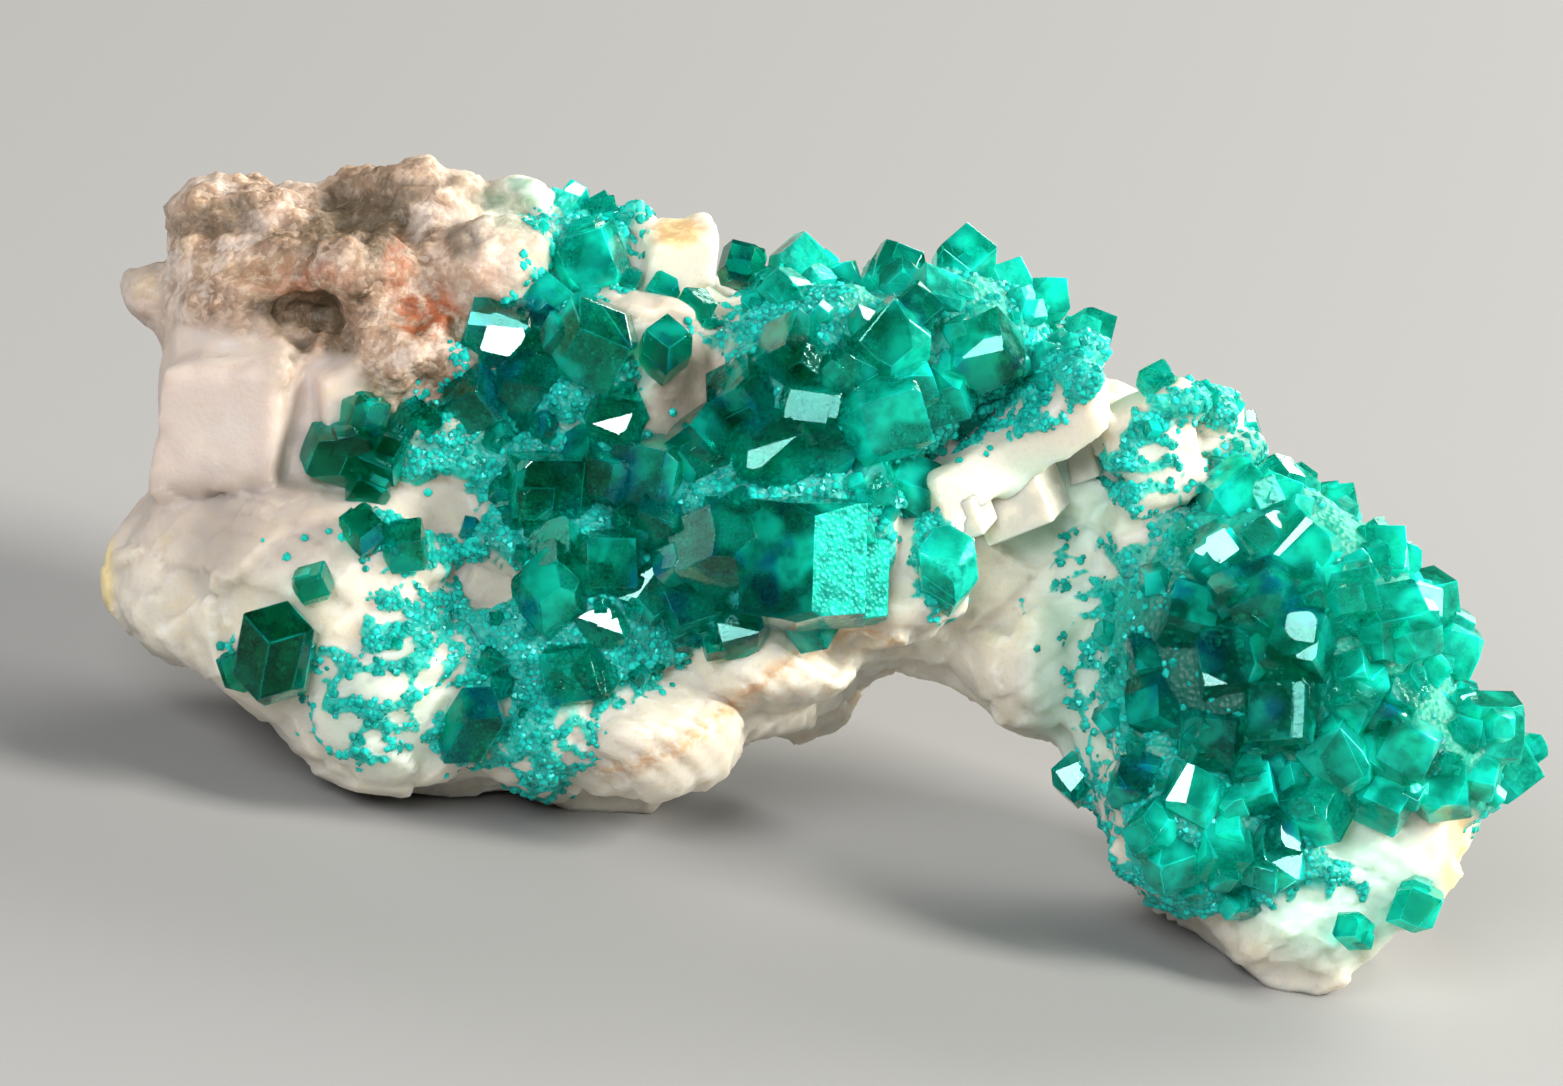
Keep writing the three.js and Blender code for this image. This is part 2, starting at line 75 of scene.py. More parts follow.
# The picture in pixels: its size, how many go to a millimetre, and where the face frame starts. Then
# the depth in the face frame that the camera looks at, in millimetres.
PICTURE_SIZE = (1563, 1086)
PICTURE_SCALE = 30
PICTURE_ORIGIN = (780, 1000)
LOOK_DEPTH = 0.5

# The width of the floor, in metres.
FLOOR_SIZE = 6

# How the face stands: it leans back, is rolled to its left, and starts at this place of the frame.
FACE_LEAN = math.radians(18)
FACE_ROLL = math.radians(12.4)
FACE_ORIGIN = (1.7968, -6.2982, -3.6)
STANCE = Matrix.Rotation(-FACE_LEAN, 4, "X") @ Matrix.Rotation(-FACE_ROLL, 4, "Y")
FACE_TO_ROW = Matrix.Scale(MM, 4) @ Matrix.Translation(FACE_ORIGIN) @ STANCE
ROW_TO_FACE = FACE_TO_ROW.inverted()
FLOOR_UP = np.array(STANCE.to_3x3())[2]

# How near two points count as one, and how near a point counts as on a cut, in millimetres.
MERGE_WITHIN = 1e-4
CUT_WITHIN = 1e-5

# Dioptase crystals by cluster, as the solids have them. Each one is x and z of its middle, its radius,
# its half length as a share of the radius, and, where it doesn't lean out from the rock, the direction
# of its long axis.
UP = (0.05, -0.25, 1)
FRONT_CLUSTERS = {
    "top_knot": [
        (-6.3, 24.5, 1.4, 1.35, (0.2, -0.8, 0.6)),
        (-7.2, 26.3, 0.85, 1.4, (-0.3, -0.5, 1)),
        (-5.9, 26.0, 0.85, 1.3, UP),
        (-5.0, 25.4, 0.75, 1.3, (0.9, -0.5, 0.6)),
        (-5.3, 23.8, 0.8, 1.3),
    ],
    "pointed_single": [(-3.8, 21.6, 0.9, 1.35, (0.08, -0.12, 1))],
    "small_upper_pair": [
        (-3.9, 23.6, 0.65, 1.3, (-0.2, -0.5, 1)),
        (-2.9, 22.9, 0.75, 1.3),
    ],
    "left_cluster": [
        (-14.5, 18.2, 1.1, 1.45, (1, -0.45, 0.06)),
        (-13.7, 19.5, 0.75, 1.3, (1, -0.3, 0.3)),
        (-13.1, 18.2, 1.05, 1.3),
        (-12.2, 19.0, 0.75, 1.6, (0.4, -0.4, 1)),
        (-13.6, 16.9, 0.8, 1.3),
    ],
    "left_low_pair": [
        (-13.6, 15.6, 0.85, 1.3),
        (-12.4, 15.1, 0.95, 1.3, (0.6, -1, 0.2)),
    ],
    "left_small_single": [(-15.3, 13.9, 0.75, 1.2, (0.3, -1, 0.4))],
    "left_large_single": [
        (-16.5, 11.8, 1.5, 1.3, (-0.2, -0.7, 0.9)),
        (-17.6, 11.1, 0.85, 1.3),
    ],
    "bottom_single": [(-10.0, 9.4, 1.15, 1.5, (0.5, -0.75, 0.55))],
    "centre": [
        (-9.3, 22.2, 1.5, 1.25, (-0.5, -0.9, 0.4)),
        (-8.0, 23.0, 1.15, 1.4, (0.1, -0.6, 1)),
        (-6.2, 21.8, 1.5, 1.4, (0.25, -0.6, -1)),
        (-7.7, 21.3, 1.25, 1.3),
        (-10.1, 19.9, 1.25, 1.4),
        (-8.8, 20.1, 1.1, 1.3),
        (-9.3, 18.9, 0.8, 1.3),
        (-7.7, 16.8, 1.75, 1.25),
        (-6.4, 18.1, 1.2, 1.3),
        (-7.3, 15.2, 1.1, 1.3),
        (-7.5, 13.5, 1.2, 1.5, (-0.1, -0.4, 1)),
        (-6.8, 11.0, 1.3, 1.35, (-0.5, -0.7, -0.7)),
        (-5.9, 12.5, 0.95, 1.3),
        (-5.9, 14.6, 1.3, 1.3),
        (-4.5, 13.6, 1.1, 1.3),
        (0.0, 15.2, 2.4, 1.25, (0.2, -0.5, 1)),
        (2.2, 14.6, 1.6, 1.35, (0.85, -0.8, 0.1)),
        (-1.9, 15.3, 1.7, 1.3),
        (-2.9, 13.5, 1.35, 1.3),
        (-1.3, 12.5, 1.1, 1.3, (-0.5, -1, -0.4)),
        (0.9, 12.7, 1.0, 1.3),
        (-4.2, 17.5, 1.6, 1.2),
        (-3.9, 15.9, 1.2, 1.3),
        (-5.4, 19.4, 1.1, 1.3),
        (-2.5, 18.4, 1.4, 1.3),
        (-0.4, 18.1, 1.5, 1.3, (0.6, -0.8, 0.4)),
        (1.4, 18.2, 1.2, 1.3),
        (-1.1, 20.1, 1.4, 1.2),
        (0.6, 21.6, 1.35, 1.3),
        (0.9, 19.8, 1.15, 1.2),
        (2.2, 20.9, 1.1, 1.3),
        (3.6, 21.8, 1.55, 1.25, (0.1, -0.7, 0.9)),
        (3.3, 19.5, 1.75, 1.25, (0.75, -0.9, 0.5)),
        (5.2, 20.4, 1.35, 1.3),
        (6.8, 21.6, 1.4, 1.3),
        (7.6, 20.5, 1.1, 1.3),
        (9.0, 20.9, 1.0, 1.3),
        (4.2, 17.1, 1.2, 1.4, (0.8, -1, -0.2)),
        (2.9, 17.2, 1.1, 1.3),
    ],
    "ledge_single": [(5.5, 14.4, 1.15, 1.5, (-0.1, -0.3, 1))],
    "ridge_left": [
        (-1.3, 24.5, 0.8, 1.3, (-0.3, -0.5, 1)),
        (-0.3, 23.7, 0.9, 1.3),
        (0.7, 24.4, 1.15, 1.3, (0.2, -0.5, 1)),
        (1.9, 23.9, 0.85, 1.3, (0.6, -0.4, 0.8)),
    ],
    "ridge_right": [
        (3.9, 24.1, 1.1, 1.35, (-0.2, -0.5, 1)),
        (5.2, 23.4, 1.15, 1.2),
        (6.2, 24.5, 1.15, 1.3, UP),
        (7.5, 23.7, 1.0, 1.3, (0.5, -0.4, 1)),
        (8.8, 23.2, 0.95, 1.3, (0.8, -0.4, 0.9)),
        (10.3, 22.2, 0.95, 1.3, (1, -0.5, 0.6)),
    ],
    "far_ridge": [
        (12.6, 20.5, 0.75, 1.3, (0.1, -0.4, 1)),
        (13.9, 19.9, 0.8, 1.3, (0.5, -0.4, 1)),
    ],
    "right_foot": [
        (15.1, 16.7, 1.4, 1.25, (-0.1, -0.6, 1)),
        (17.2, 16.7, 1.0, 1.3, (0.1, -0.4, 1)),
        (18.8, 16.3, 0.9, 1.3, (0.5, -0.4, 1)),
        (17.3, 15.0, 1.4, 1.2),
        (14.4, 14.8, 1.15, 1.3),
        (19.9, 14.7, 1.2, 1.3, (0.6, -0.5, 0.8)),
        (21.3, 13.1, 1.3, 1.4, (0.9, -0.5, 0.6)),
        (22.1, 11.7, 1.2, 1.4, (1, -0.4, 0.1)),
        (20.1, 12.5, 1.45, 1.35, (0.9, -0.8, 0.3)),
        (18.7, 13.6, 1.3, 1.3, (0.5, -0.8, 0.6)),
        (16.0, 13.4, 1.45, 1.25),
        (13.7, 12.8, 1.3, 1.2),
        (12.3, 11.6, 1.0, 1.3),
        (17.2, 11.9, 1.45, 1.2),
        (14.9, 11.3, 1.45, 1.2),
        (12.8, 9.9, 1.3, 1.25),
        (16.5, 9.8, 1.5, 1.25),
        (14.5, 8.8, 1.4, 1.2),
        (18.9, 10.3, 1.3, 1.3),
        (11.8, 7.2, 1.05, 1.3),
        (13.6, 6.9, 1.15, 1.25),
        (15.5, 7.0, 1.2, 1.3),
        (12.9, 4.9, 1.15, 1.3),
        (14.6, 5.0, 1.2, 1.3),
        (16.4, 4.9, 1.35, 1.3),
        (15.3, 3.5, 0.9, 1.3),
        (18.6, 8.2, 1.45, 1.25),
        (20.6, 8.4, 1.35, 1.3, (0.9, -0.9, 0.1)),
        (23.3, 9.0, 1.5, 1.3, (1, -0.7, 0.5)),
        (24.1, 7.7, 1.35, 1.2, (1, -0.4, -0.2)),
        (21.9, 7.1, 1.2, 1.3),
        (20.0, 6.8, 1.15, 1.3),
        (17.7, 6.5, 1.2, 1.3),
    ],
    "right_low_single": [(21.1, 3.2, 0.95, 1.3, (0.9, -0.8, 0.2))],
    "right_bottom_single": [(19.0, 2.4, 0.7, 1.2, (0, -1, -0.2))],
    "arch_edge_single": [(9.9, 7.3, 0.75, 1.4, (-0.1, -0.3, 1))],
}
BACK_CLUSTERS = {
    "back_ridge": [
        (5.2, 21.6, 1.2, 1.3),
        (3.4, 22.0, 1.0, 1.3),
        (6.6, 20.4, 0.9, 1.3),
        (7.9, 21.2, 0.9, 1.3),
        (4.4, 19.9, 1.0, 1.3),
    ],
    "back_left": [
        (-11.4, 22.6, 1.2, 1.3),
        (-12.7, 21.4, 0.95, 1.3),
        (-10.6, 20.8, 1.0, 1.3),
        (-12.0, 24.2, 0.8, 1.3),
    ],
    "back_foot": [
        (19.6, 10.6, 1.3, 1.3),
        (18.2, 12.2, 1.2, 1.3),
        (20.4, 8.4, 1.1, 1.3),
        (16.6, 11.2, 1.0, 1.3),
        (18.4, 9.0, 1.2, 1.3),
    ],
}

# Crystals that the scene shapes more closely than the solids do: their cluster and row, then x and z,
# radius, stretch and axis, the turn about the axis in degrees and the slope of the end faces.
FINE_CRYSTALS = {
    ("centre", 15): ((0.85, 14.6, 2.5, 0.9, (0.03, 0.06, 1)), 30, 0.22),
    ("centre", 16): ((2.3, 14.0, 1.45, 1.1, (0.03, 0.06, 1)), 30, 0.3),
    ("left_large_single", 0): ((-16.6, 11.6, 1.35, 1.4, (0.2, -0.3, 1)), 20, 0.8),
    ("bottom_single", 0): ((-10.2, 9.2, 1.05, 1.6, (0.5, -0.5, 0.8)), 15, 1.0),
    ("right_foot", 0): ((15.1, 16.7, 1.4, 1.25, (0.35, -0.75, 0.8)), 48, 1.23),
}

# Crystals with a small face that mirrors the fill light: their cluster and row, then how far out the
# face lies, as a share of the crystal's reach that way, and how glossy it is.
MIRROR_NORMAL = Vector((-0.095, -0.987, 0.131)).normalized()
MIRROR_FACES = {
    ("centre", 0): (0.895, 0.9),
    ("centre", 12): (0.86, 0.8),
    ("centre", 14): (0.84, 0.35),
    ("centre", 19): (0.86, 0.06),
    ("centre", 23): (0.87, 0.9),
    ("centre", 25): (0.86, 0.06),
    ("centre", 34): (0.88, 0.12),
    ("right_foot", 3): (0.925, 0.5),
    ("right_foot", 4): (0.92, 0.4),
    ("right_foot", 13): (0.92, 0.1),
    ("right_foot", 14): (0.955, 0.2),
    ("right_foot", 20): (0.84, 0.7),
    ("arch_edge_single", 0): (0.8, 0.4),
}
MIRROR_WITHIN = math.cos(math.radians(2.5))

# How the solids seat their crystals, in millimetres: how far one stands out as a share of its radius,
# the depth of one beyond the rock's edge, how far their directions scatter, where the seeds of the
# clusters start, how steep a crystal's end faces are, and a depth past the rock.
STAND_OUT = 0.35
EDGE_DEPTH = 2.6
SCATTER = 1.5
CLUSTER_SEED = 100
CAP_SLOPE = 1.23
FAR = 60

# How the scene shapes them: the small faces of a usual crystal and of one with end faces of its own,
# how far out these lie as a share of its reach, and the share of its squared outline under which the
# area of a face makes it one of a worn edge, which the finish makes paler as painted highlight. Faces
# whose directions are within a step share a tone of painted light and shade.
MINOR_FACES = 7
FEW_MINOR_FACES = 2
MINOR_LEAST = 0.86
MINOR_SPREAD = 0.11
NARROW_FACE = 0.02
FACE_LIGHT_STEPS = 40

# Crystals that only the scene has: where the seeds of the offshoots and of the strewn crystals start,
# the radius past which a crystal gets no more offshoots, how near a strewn one joins a cluster, and
# how far one may reach out of the solids' box.
OFFSHOOT_SEED = 1000
BUSIEST_RADIUS = 1.6
STREWN_SEED = 5000
STREWN_DICE = 7
JOIN_WITHIN = 0.6
BOX_SLACK = 0.3 * MM

# Grains of the crust: how many may fall on a square metre, how small and how large they are as shares
# of a middling one, and how deep they sit.
MOST_GRAINS = 6e7
LEAST_GRAIN = 0.6
LARGEST_GRAIN = 1.5
GRAIN_SINK = 0.07 * MM

# Calcite cleavage: how far a block leans, how steep the normals of its faces are and how it is turned.
CLEAVAGE_LEAN = math.tan(math.radians(15))
CLEAVAGE_NORMAL = math.radians(44.6)
CLEAVAGE_TURNS = (0.5, 0.3, 0.2)

# Blocky calcite crystals of the solids: x, y, z of the middle, three edge lengths, then the turns
# about x, y and z in degrees.
CALCITE_BLOCKS = [
    (-18.1, -1.7, 19.6, 4.3, 3.8, 4.4, 4, 8, -12),
    (-14.6, -2.8, 20.2, 1.4, 1.6, 1.9, 0, -6, 10),
    (-18.7, 2.6, 12.7, 3.6, 4.6, 2.4, 8, 36, 6),
    (-3.4, 0.7, 24.9, 2.4, 2.4, 1.8, 6, 6, 10),
    (8.9, -0.8, 19.2, 4.4, 2.8, 1.8, 14, -24, -8),
    (6.0, -0.9, 17.2, 2.8, 2.4, 1.8, -10, -22, 16),
    (12.2, 0.2, 18.3, 3.1, 2.2, 3.6, -4, -14, 14),
    (12.0, 0.4, 15.9, 2.2, 1.8, 1.7, 6, -30, 10),
    (4.6, -1.3, 14.4, 3.2, 1.8, 3.4, 0, 4, 14),
    (17.6, 5.8, 14.9, 3.2, 3.4, 2.6, 20, 14, 30),
    (3.2, 8.0, 20.4, 3.6, 3.0, 2.8, 14, 30, 24),
    (-7.4, 8.6, 21.6, 4.0, 3.6, 3.4, 24, 10, 38),
    (21.4, 0.6, 4.6, 1.9, 2.4, 1.9, 10, -34, 8),
]

# Small cleavage rhombs that stand out of the matrix: x and z on the face, their size, then their
# turns about x, y and z in degrees. The depth is a share of the size.
RHOMB_DEPTH = 0.42
RHOMB_WEAR = 0.07
CALCITE_RHOMBS = [
    (7.9, 16.9, 2.0, 14, -24, -8),
    (6.3, 16.2, 1.3, 14, -22, -6),
    (9.9, 18.2, 1.3, 14, -22, -4),
]

# Ellipses on the face: x and z of the middle, half width, half height, then the strength there. They
# mark where dioptase has grown on the front and on the back, and what is bare calcite, host rock,
# dark with grime and painted shade, greenish, amber (on the thin rims a painted glow) or rusty.
# Then come crowds of crystals, whose green ground is darkened as painted shade, and dark, bright and
# deep crystals, which paint light and shade into the crystals as well as their own colour.
# An ellipse fades out up to its end, as shares of its own reach.
ZONE_END = 1.35
ZONE_FADE = 0.6
CRUST_ZONES = [
    (-6.2, 25.2, 2.3, 1.9, 0.9),
    (-7.6, 21.2, 3.0, 2.2, 0.8),
    (-10.6, 18.1, 2.6, 2.2, 0.85),
    (-11.4, 15.6, 2.6, 1.7, 0.6),
    (-6.0, 16.0, 4.4, 3.6, 1.0),
    (-0.8, 17.6, 4.4, 4.6, 1.0),
    (-7.4, 12.0, 3.6, 2.4, 1.0),
    (-4.6, 12.9, 3.2, 1.8, 1.0),
    (-7.6, 9.0, 1.7, 2.2, 0.58),
    (-10.2, 8.8, 1.6, 1.2, 0.5),
    (0.8, 24.2, 3.2, 1.5, 0.8),
    (3.4, 21.4, 5.0, 3.0, 1.0),
    (8.6, 22.0, 3.0, 2.2, 1.0),
    (7.0, 19.8, 3.2, 1.3, 0.55),
    (12.0, 18.1, 1.3, 1.8, 0.62),
    (14.0, 20.0, 2.0, 1.0, 0.9),
    (15.6, 18.2, 1.6, 0.8, 0.7),
    (17.0, 11.6, 6.4, 5.8, 1.0),
    (22.0, 8.2, 3.4, 2.2, 1.0),
    (15.4, 5.8, 4.0, 3.0, 0.95),
    (18.6, 4.0, 1.9, 1.1, 0.5),
    (10.9, 10.0, 1.3, 4.6, 0.45),
    (15.3, 17.0, 1.3, 1.0, 0.85),
    (13.8, 16.0, 0.8, 0.8, 0.7),
    (9.5, 14.8, 0.8, 1.7, 0.36),
    (8.4, 12.6, 0.5, 1.4, 0.3),
    (-13.6, 10.6, 2.4, 2.6, 0.47),
    (-17.2, 11.8, 1.6, 1.0, 0.5),
    (-11.6, 12.2, 2.6, 1.8, 0.6),
    (-15.4, 14.6, 3.2, 1.6, 0.24),
    (5.2, 14.4, 0.9, 1.6, 0.75),
    (2.6, 15.6, 1.4, 2.0, 0.9),
]
BACK_ZONES = [
    (4.6, 21.4, 3.4, 2.2, 0.85),
    (9.0, 22.0, 2.2, 1.2, 0.7),
    (0.6, 23.4, 2.4, 1.2, 0.8),
    (-6.4, 24.8, 1.8, 1.4, 0.7),
    (-11.6, 22.2, 2.2, 2.2, 0.7),
    (14.6, 18.0, 2.6, 1.6, 0.75),
    (18.8, 11.4, 3.2, 4.0, 0.85),
    (21.6, 8.0, 2.2, 2.6, 0.8),
    (-4.0, 14.0, 1.8, 1.4, 0.45),
]
BARE_ZONES = [
    (-3.0, 19.9, 1.5, 1.7, 0.75),
    (-3.2, 24.4, 1.6, 1.3, 1.0),
    (12.5, 20.6, 1.0, 0.6, 0.5),
    (10.9, 20.3, 0.6, 1.2, 1.0),
    (-13.4, 17.0, 0.8, 0.6, 0.5),
    (-11.4, 16.5, 1.5, 0.7, 0.6),
    (20.2, 5.4, 2.0, 0.9, 1.0),
    (17.2, 1.6, 3.0, 1.4, 1.0),
    (14.2, 2.3, 1.3, 0.9, 0.7),
    (-9.4, 13.9, 0.9, 0.8, 0.8),
    (-14.9, 12.9, 1.0, 0.7, 0.5),
]
HOST_ROCK_ZONES = [
    (-17.2, 25.0, 3.8, 3.2, 1.0),
    (-13.8, 25.0, 3.6, 4.0, 1.0),
    (-12.6, 21.4, 3.6, 2.6, 1.0),
    (-10.4, 25.6, 2.6, 2.6, 0.72),
    (-20.6, 24.0, 1.6, 2.4, 0.4),
    (-13.4, 19.4, 1.6, 1.4, 0.8),
    (-2.4, 20.6, 1.5, 1.2, 0.45),
]
# Dark places: grime on the rock, and painted shade in its pits and hollows and on the left lobe.
GRIME_AND_SHADE_ZONES = [
    (-14.6, 26.2, 1.1, 1.0, 1.0),
    (-13.3, 25.6, 1.1, 1.1, 1.0),
    (-12.8, 26.9, 0.9, 0.5, 0.8),
    (-16.6, 22.9, 1.0, 0.5, 0.9),
    (-15.3, 22.5, 0.9, 0.7, 1.0),
    (-14.5, 21.9, 0.6, 0.9, 0.8),
    (-12.4, 22.6, 0.5, 0.9, 0.6),
    (-18.6, 26.0, 1.6, 0.5, 0.7),
    (-10.6, 25.2, 0.9, 0.6, 0.7),
    (-10.4, 27.0, 1.6, 0.3, 0.6),
    (-3.0, 19.0, 1.2, 1.2, 0.7),
    (-3.8, 21.0, 1.3, 1.8, 0.75),
    (-4.6, 22.6, 1.3, 1.2, 0.5),
    (-15.7, 18.0, 0.5, 1.2, 0.6),
    (-17.8, 15.7, 3.4, 1.9, 0.5),
    (-2.6, 8.9, 4.0, 1.6, 0.14),
    (14.2, 11.4, 2.0, 2.6, 1.0),
    (-11.2, 15.7, 1.6, 1.0, 0.25),
    (-9.6, 14.2, 1.2, 1.0, 0.6),
    (19.6, 4.4, 3.0, 2.0, 0.16),
]
TINGE_ZONES = [
    (-8.6, 26.5, 1.3, 0.9, 0.9),
    (-5.2, 21.0, 1.0, 1.4, 0.4),
    (9.2, 16.4, 2.4, 1.6, 0.35),
    (18.6, 3.6, 3.0, 2.2, 0.5),
    (10.0, 11.0, 1.6, 3.6, 0.35),
    (-13.0, 9.6, 2.0, 2.0, 0.25),
]
# Amber calcite at the top. Along the thin left and right rims the amber is a painted glow of light
# through the edge.
AMBER_AND_RIM_GLOW_ZONES = [
    (-22.6, 14.2, 0.45, 2.4, 0.8),
    (22.6, 4.4, 0.5, 2.0, 0.7),
    (-3.4, 25.6, 0.7, 0.5, 0.8),
]
RUST_ZONES = [
    (-11.6, 22.9, 1.1, 0.8, 1.0),
    (-12.6, 24.4, 0.5, 1.0, 0.6),
    (-16.0, 24.0, 1.8, 0.6, 0.5),
    (-9.8, 23.6, 0.8, 1.0, 0.5),
    (-3.4, 25.6, 0.9, 0.5, 0.7),
]
# Where larger crystals crowd. The green ground there is darker: painted shade between the crystals.
MASSED_ZONES = [
    (17.6, 11.6, 5.6, 5.6, 1.0),
    (22.0, 8.2, 3.2, 2.2, 1.0),
    (14.4, 6.6, 2.4, 2.6, 0.5),
    (4.6, 23.2, 3.2, 1.5, 0.7),
    (0.8, 24.2, 2.6, 1.1, 0.6),
    (-1.5, 19.8, 3.5, 1.8, 0.35),
    (14.6, 19.2, 1.8, 1.0, 0.5),
]
# Dark crystals absorb more strongly: partly their deeper colour and partly painted shade, where they
# lie in the hollows and on the shaded left.
DARK_CRYSTAL_ZONES = [
    (-15.4, 15.0, 4.6, 5.4, 1.0),
    (-8.0, 15.6, 5.0, 7.6, 1.0),
    (-2.2, 16.4, 3.8, 4.4, 1.0),
    (-3.4, 22.2, 1.2, 1.6, 1.0),
    (-1.0, 24.6, 0.9, 0.7, 1.0),
    (3.2, 22.0, 1.3, 1.1, 1.0),
    (6.7, 22.0, 1.2, 0.9, 1.0),
    (0.6, 20.6, 1.8, 1.2, 1.0),
    (14.8, 10.5, 2.8, 3.1, 1.0),
    (12.4, 7.4, 1.0, 0.9, 1.0),
    (16.2, 6.2, 0.9, 0.8, 1.0),
    (19.8, 8.6, 0.9, 0.8, 1.0),
]
# Milky bright crystals: painted light where the crystals look lit through.
BRIGHT_ZONES = [
    (8.0, 22.6, 4.5, 2.4, 0.9),
    (21.5, 12.0, 3.4, 4.5, 1.0),
    (22.5, 8.0, 3.6, 2.4, 1.0),
    (16.5, 16.0, 5.0, 2.2, 0.8),
    (14.0, 9.0, 3.0, 5.0, 0.4),
    (15.5, 5.0, 3.0, 2.2, 0.6),
    (3.5, 18.6, 2.6, 2.2, 0.7),
    (5.5, 14.4, 1.5, 2.0, 1.0),
    (0.8, 24.3, 2.6, 1.4, 0.7),
    (-6.2, 25.0, 2.6, 2.4, 1.0),
    (1.6, 14.6, 2.4, 2.2, 0.9),
]
# Clear dark crystals: painted shade.
DEEP_ZONES = [
    (-13.6, 17.6, 2.6, 2.6, 0.55),
    (-16.8, 11.8, 1.8, 1.8, 0.5),
    (-10.4, 19.8, 1.8, 1.4, 0.5),
    (-7.6, 16.8, 2.0, 1.8, 0.5),
    (-7.2, 13.2, 1.6, 2.6, 0.4),
    (-1.6, 20.4, 4.0, 1.6, 0.6),
    (-2.0, 15.8, 1.6, 3.0, 0.4),
    (14.0, 11.4, 2.8, 3.0, 0.55),
    (-10.0, 9.6, 1.4, 1.6, 0.4),
]
# The same, and then the least x and the greatest z of the normal of a face that the frost lies on.
FROST_ZONES = [
    (2.3, 14.5, 1.5, 2.1, 1.0, 0.15, 0.5),
    (5.9, 14.2, 0.8, 1.4, 0.9, -0.2, 0.6),
    (4.3, 16.2, 0.8, 0.8, 0.5, -1, 1),
    (0.6, 24.3, 1.6, 0.7, 0.7, -1, 1),
    (9.2, 22.0, 1.6, 1.3, 0.8, -1, 1),
    (7.2, 23.6, 2.4, 0.8, 0.55, -1, 1),
    (4.6, 22.8, 1.4, 1.0, 0.4, -1, 1),
    (24.2, 8.6, 1.5, 1.6, 0.6, 0.1, 1),
    (22.2, 12.8, 1.3, 2.4, 0.6, 0.1, 1),
    (18.2, 16.6, 2.0, 0.6, 0.6, -1, 1),
    (15.6, 5.0, 0.8, 1.2, 0.5, -1, 1),
    (17.5, 10.5, 5.5, 5.5, 0.33, -1, 1),
    (4.5, 22.0, 5.5, 2.5, 0.26, -1, 1),
]

# Pieces of the crust, each between two x in the row frame.
CRUST_STRETCHES = [
    ("far_left_crust", -30, -11.5),
    ("left_crust", -11.5, -6),
    ("middle_crust", -6, 0),
    ("right_crust", 0, 9),
    ("far_right_crust", 9, 30),
]

# The rusty line along the lower ledge: x and z of its bends on the face.
STAIN_LINE = [(3.9, 12.0), (1.8, 12.0), (0.2, 11.2), (-1.6, 9.8), (-3.6, 8.4), (-6.0, 7.4)]

# Soft lights, in metres: where each stands, its width and height, and its colour.
LIGHTS = {
    "key": ((0.36, -0.06, 0.27), (0.17, 0.17), (1.0, 0.96, 0.88)),
    "fill": ((-0.12, -0.42, 0.26), (0.2, 0.17), (0.97, 0.98, 1.0)),
    "side": ((-0.36, -0.02, 0.2), (0.2, 0.2), (1.0, 0.98, 0.95)),
    "rim": ((0.2, 0.34, 0.24), (0.3, 0.22), (1.0, 0.98, 0.92)),
}
LIGHT_TARGET = (0, 0, 0.01)


def length_setting(label, meaning, default, least=0):
    """A size in metres."""
    return FloatProperty(name=label, description=meaning, default=default, min=least, unit="LENGTH")


def share_setting(label, meaning, default, most=1):
    """A share of something, from 0 to the most that makes sense."""
    return FloatProperty(
        name=label, description=meaning, default=default, min=0, max=most, subtype="FACTOR"
    )


def amount_setting(label, meaning, default, unit="NONE"):
    """A number from 0 up, such as a light's power."""
    return FloatProperty(name=label, description=meaning, default=default, min=0, unit=unit)


def count_setting(label, meaning, default):
    return IntProperty(name=label, description=meaning, default=default, min=0)


def colour_setting(label, meaning, default):
    return FloatVectorProperty(
        name=label, description=meaning, default=default, min=0, max=1, subtype="COLOR"
    )


class MatrixSettings(bpy.types.PropertyGroup):
    grain: length_setting("Mesh size", "Size of the matrix mesh's faces", 0.208 * MM, 0.1 * MM)
    rounding: count_setting("Rounding", "How often the smooth calcite is evened out", 26)
    ground: length_setting(
        "Green ground", "Thickness of the green ground under the crystals", 0.7 * MM
    )
    cleavage: length_setting(
        "Cleavage relief", "Height of the steps between cleavage blocks", 0.5 * MM
    )
    roughness: length_setting("Host rock relief", "Height of the lumps on the host rock", 0.42 * MM)
    pale: colour_setting("Calcite", "Colour of the clean calcite", (0.72, 0.665, 0.56))
    # Pinkish calcite, darker than the clean calcite: its own colour with painted shade.
    blush: colour_setting("Pinkish calcite", "Colour of the calcite at the left", (0.60, 0.50, 0.44))
    earth: colour_setting("Host rock", "Colour of the granular host rock", (0.31, 0.20, 0.13))
    rust: colour_setting("Rust", "Colour of the iron stains", (0.34, 0.10, 0.035))


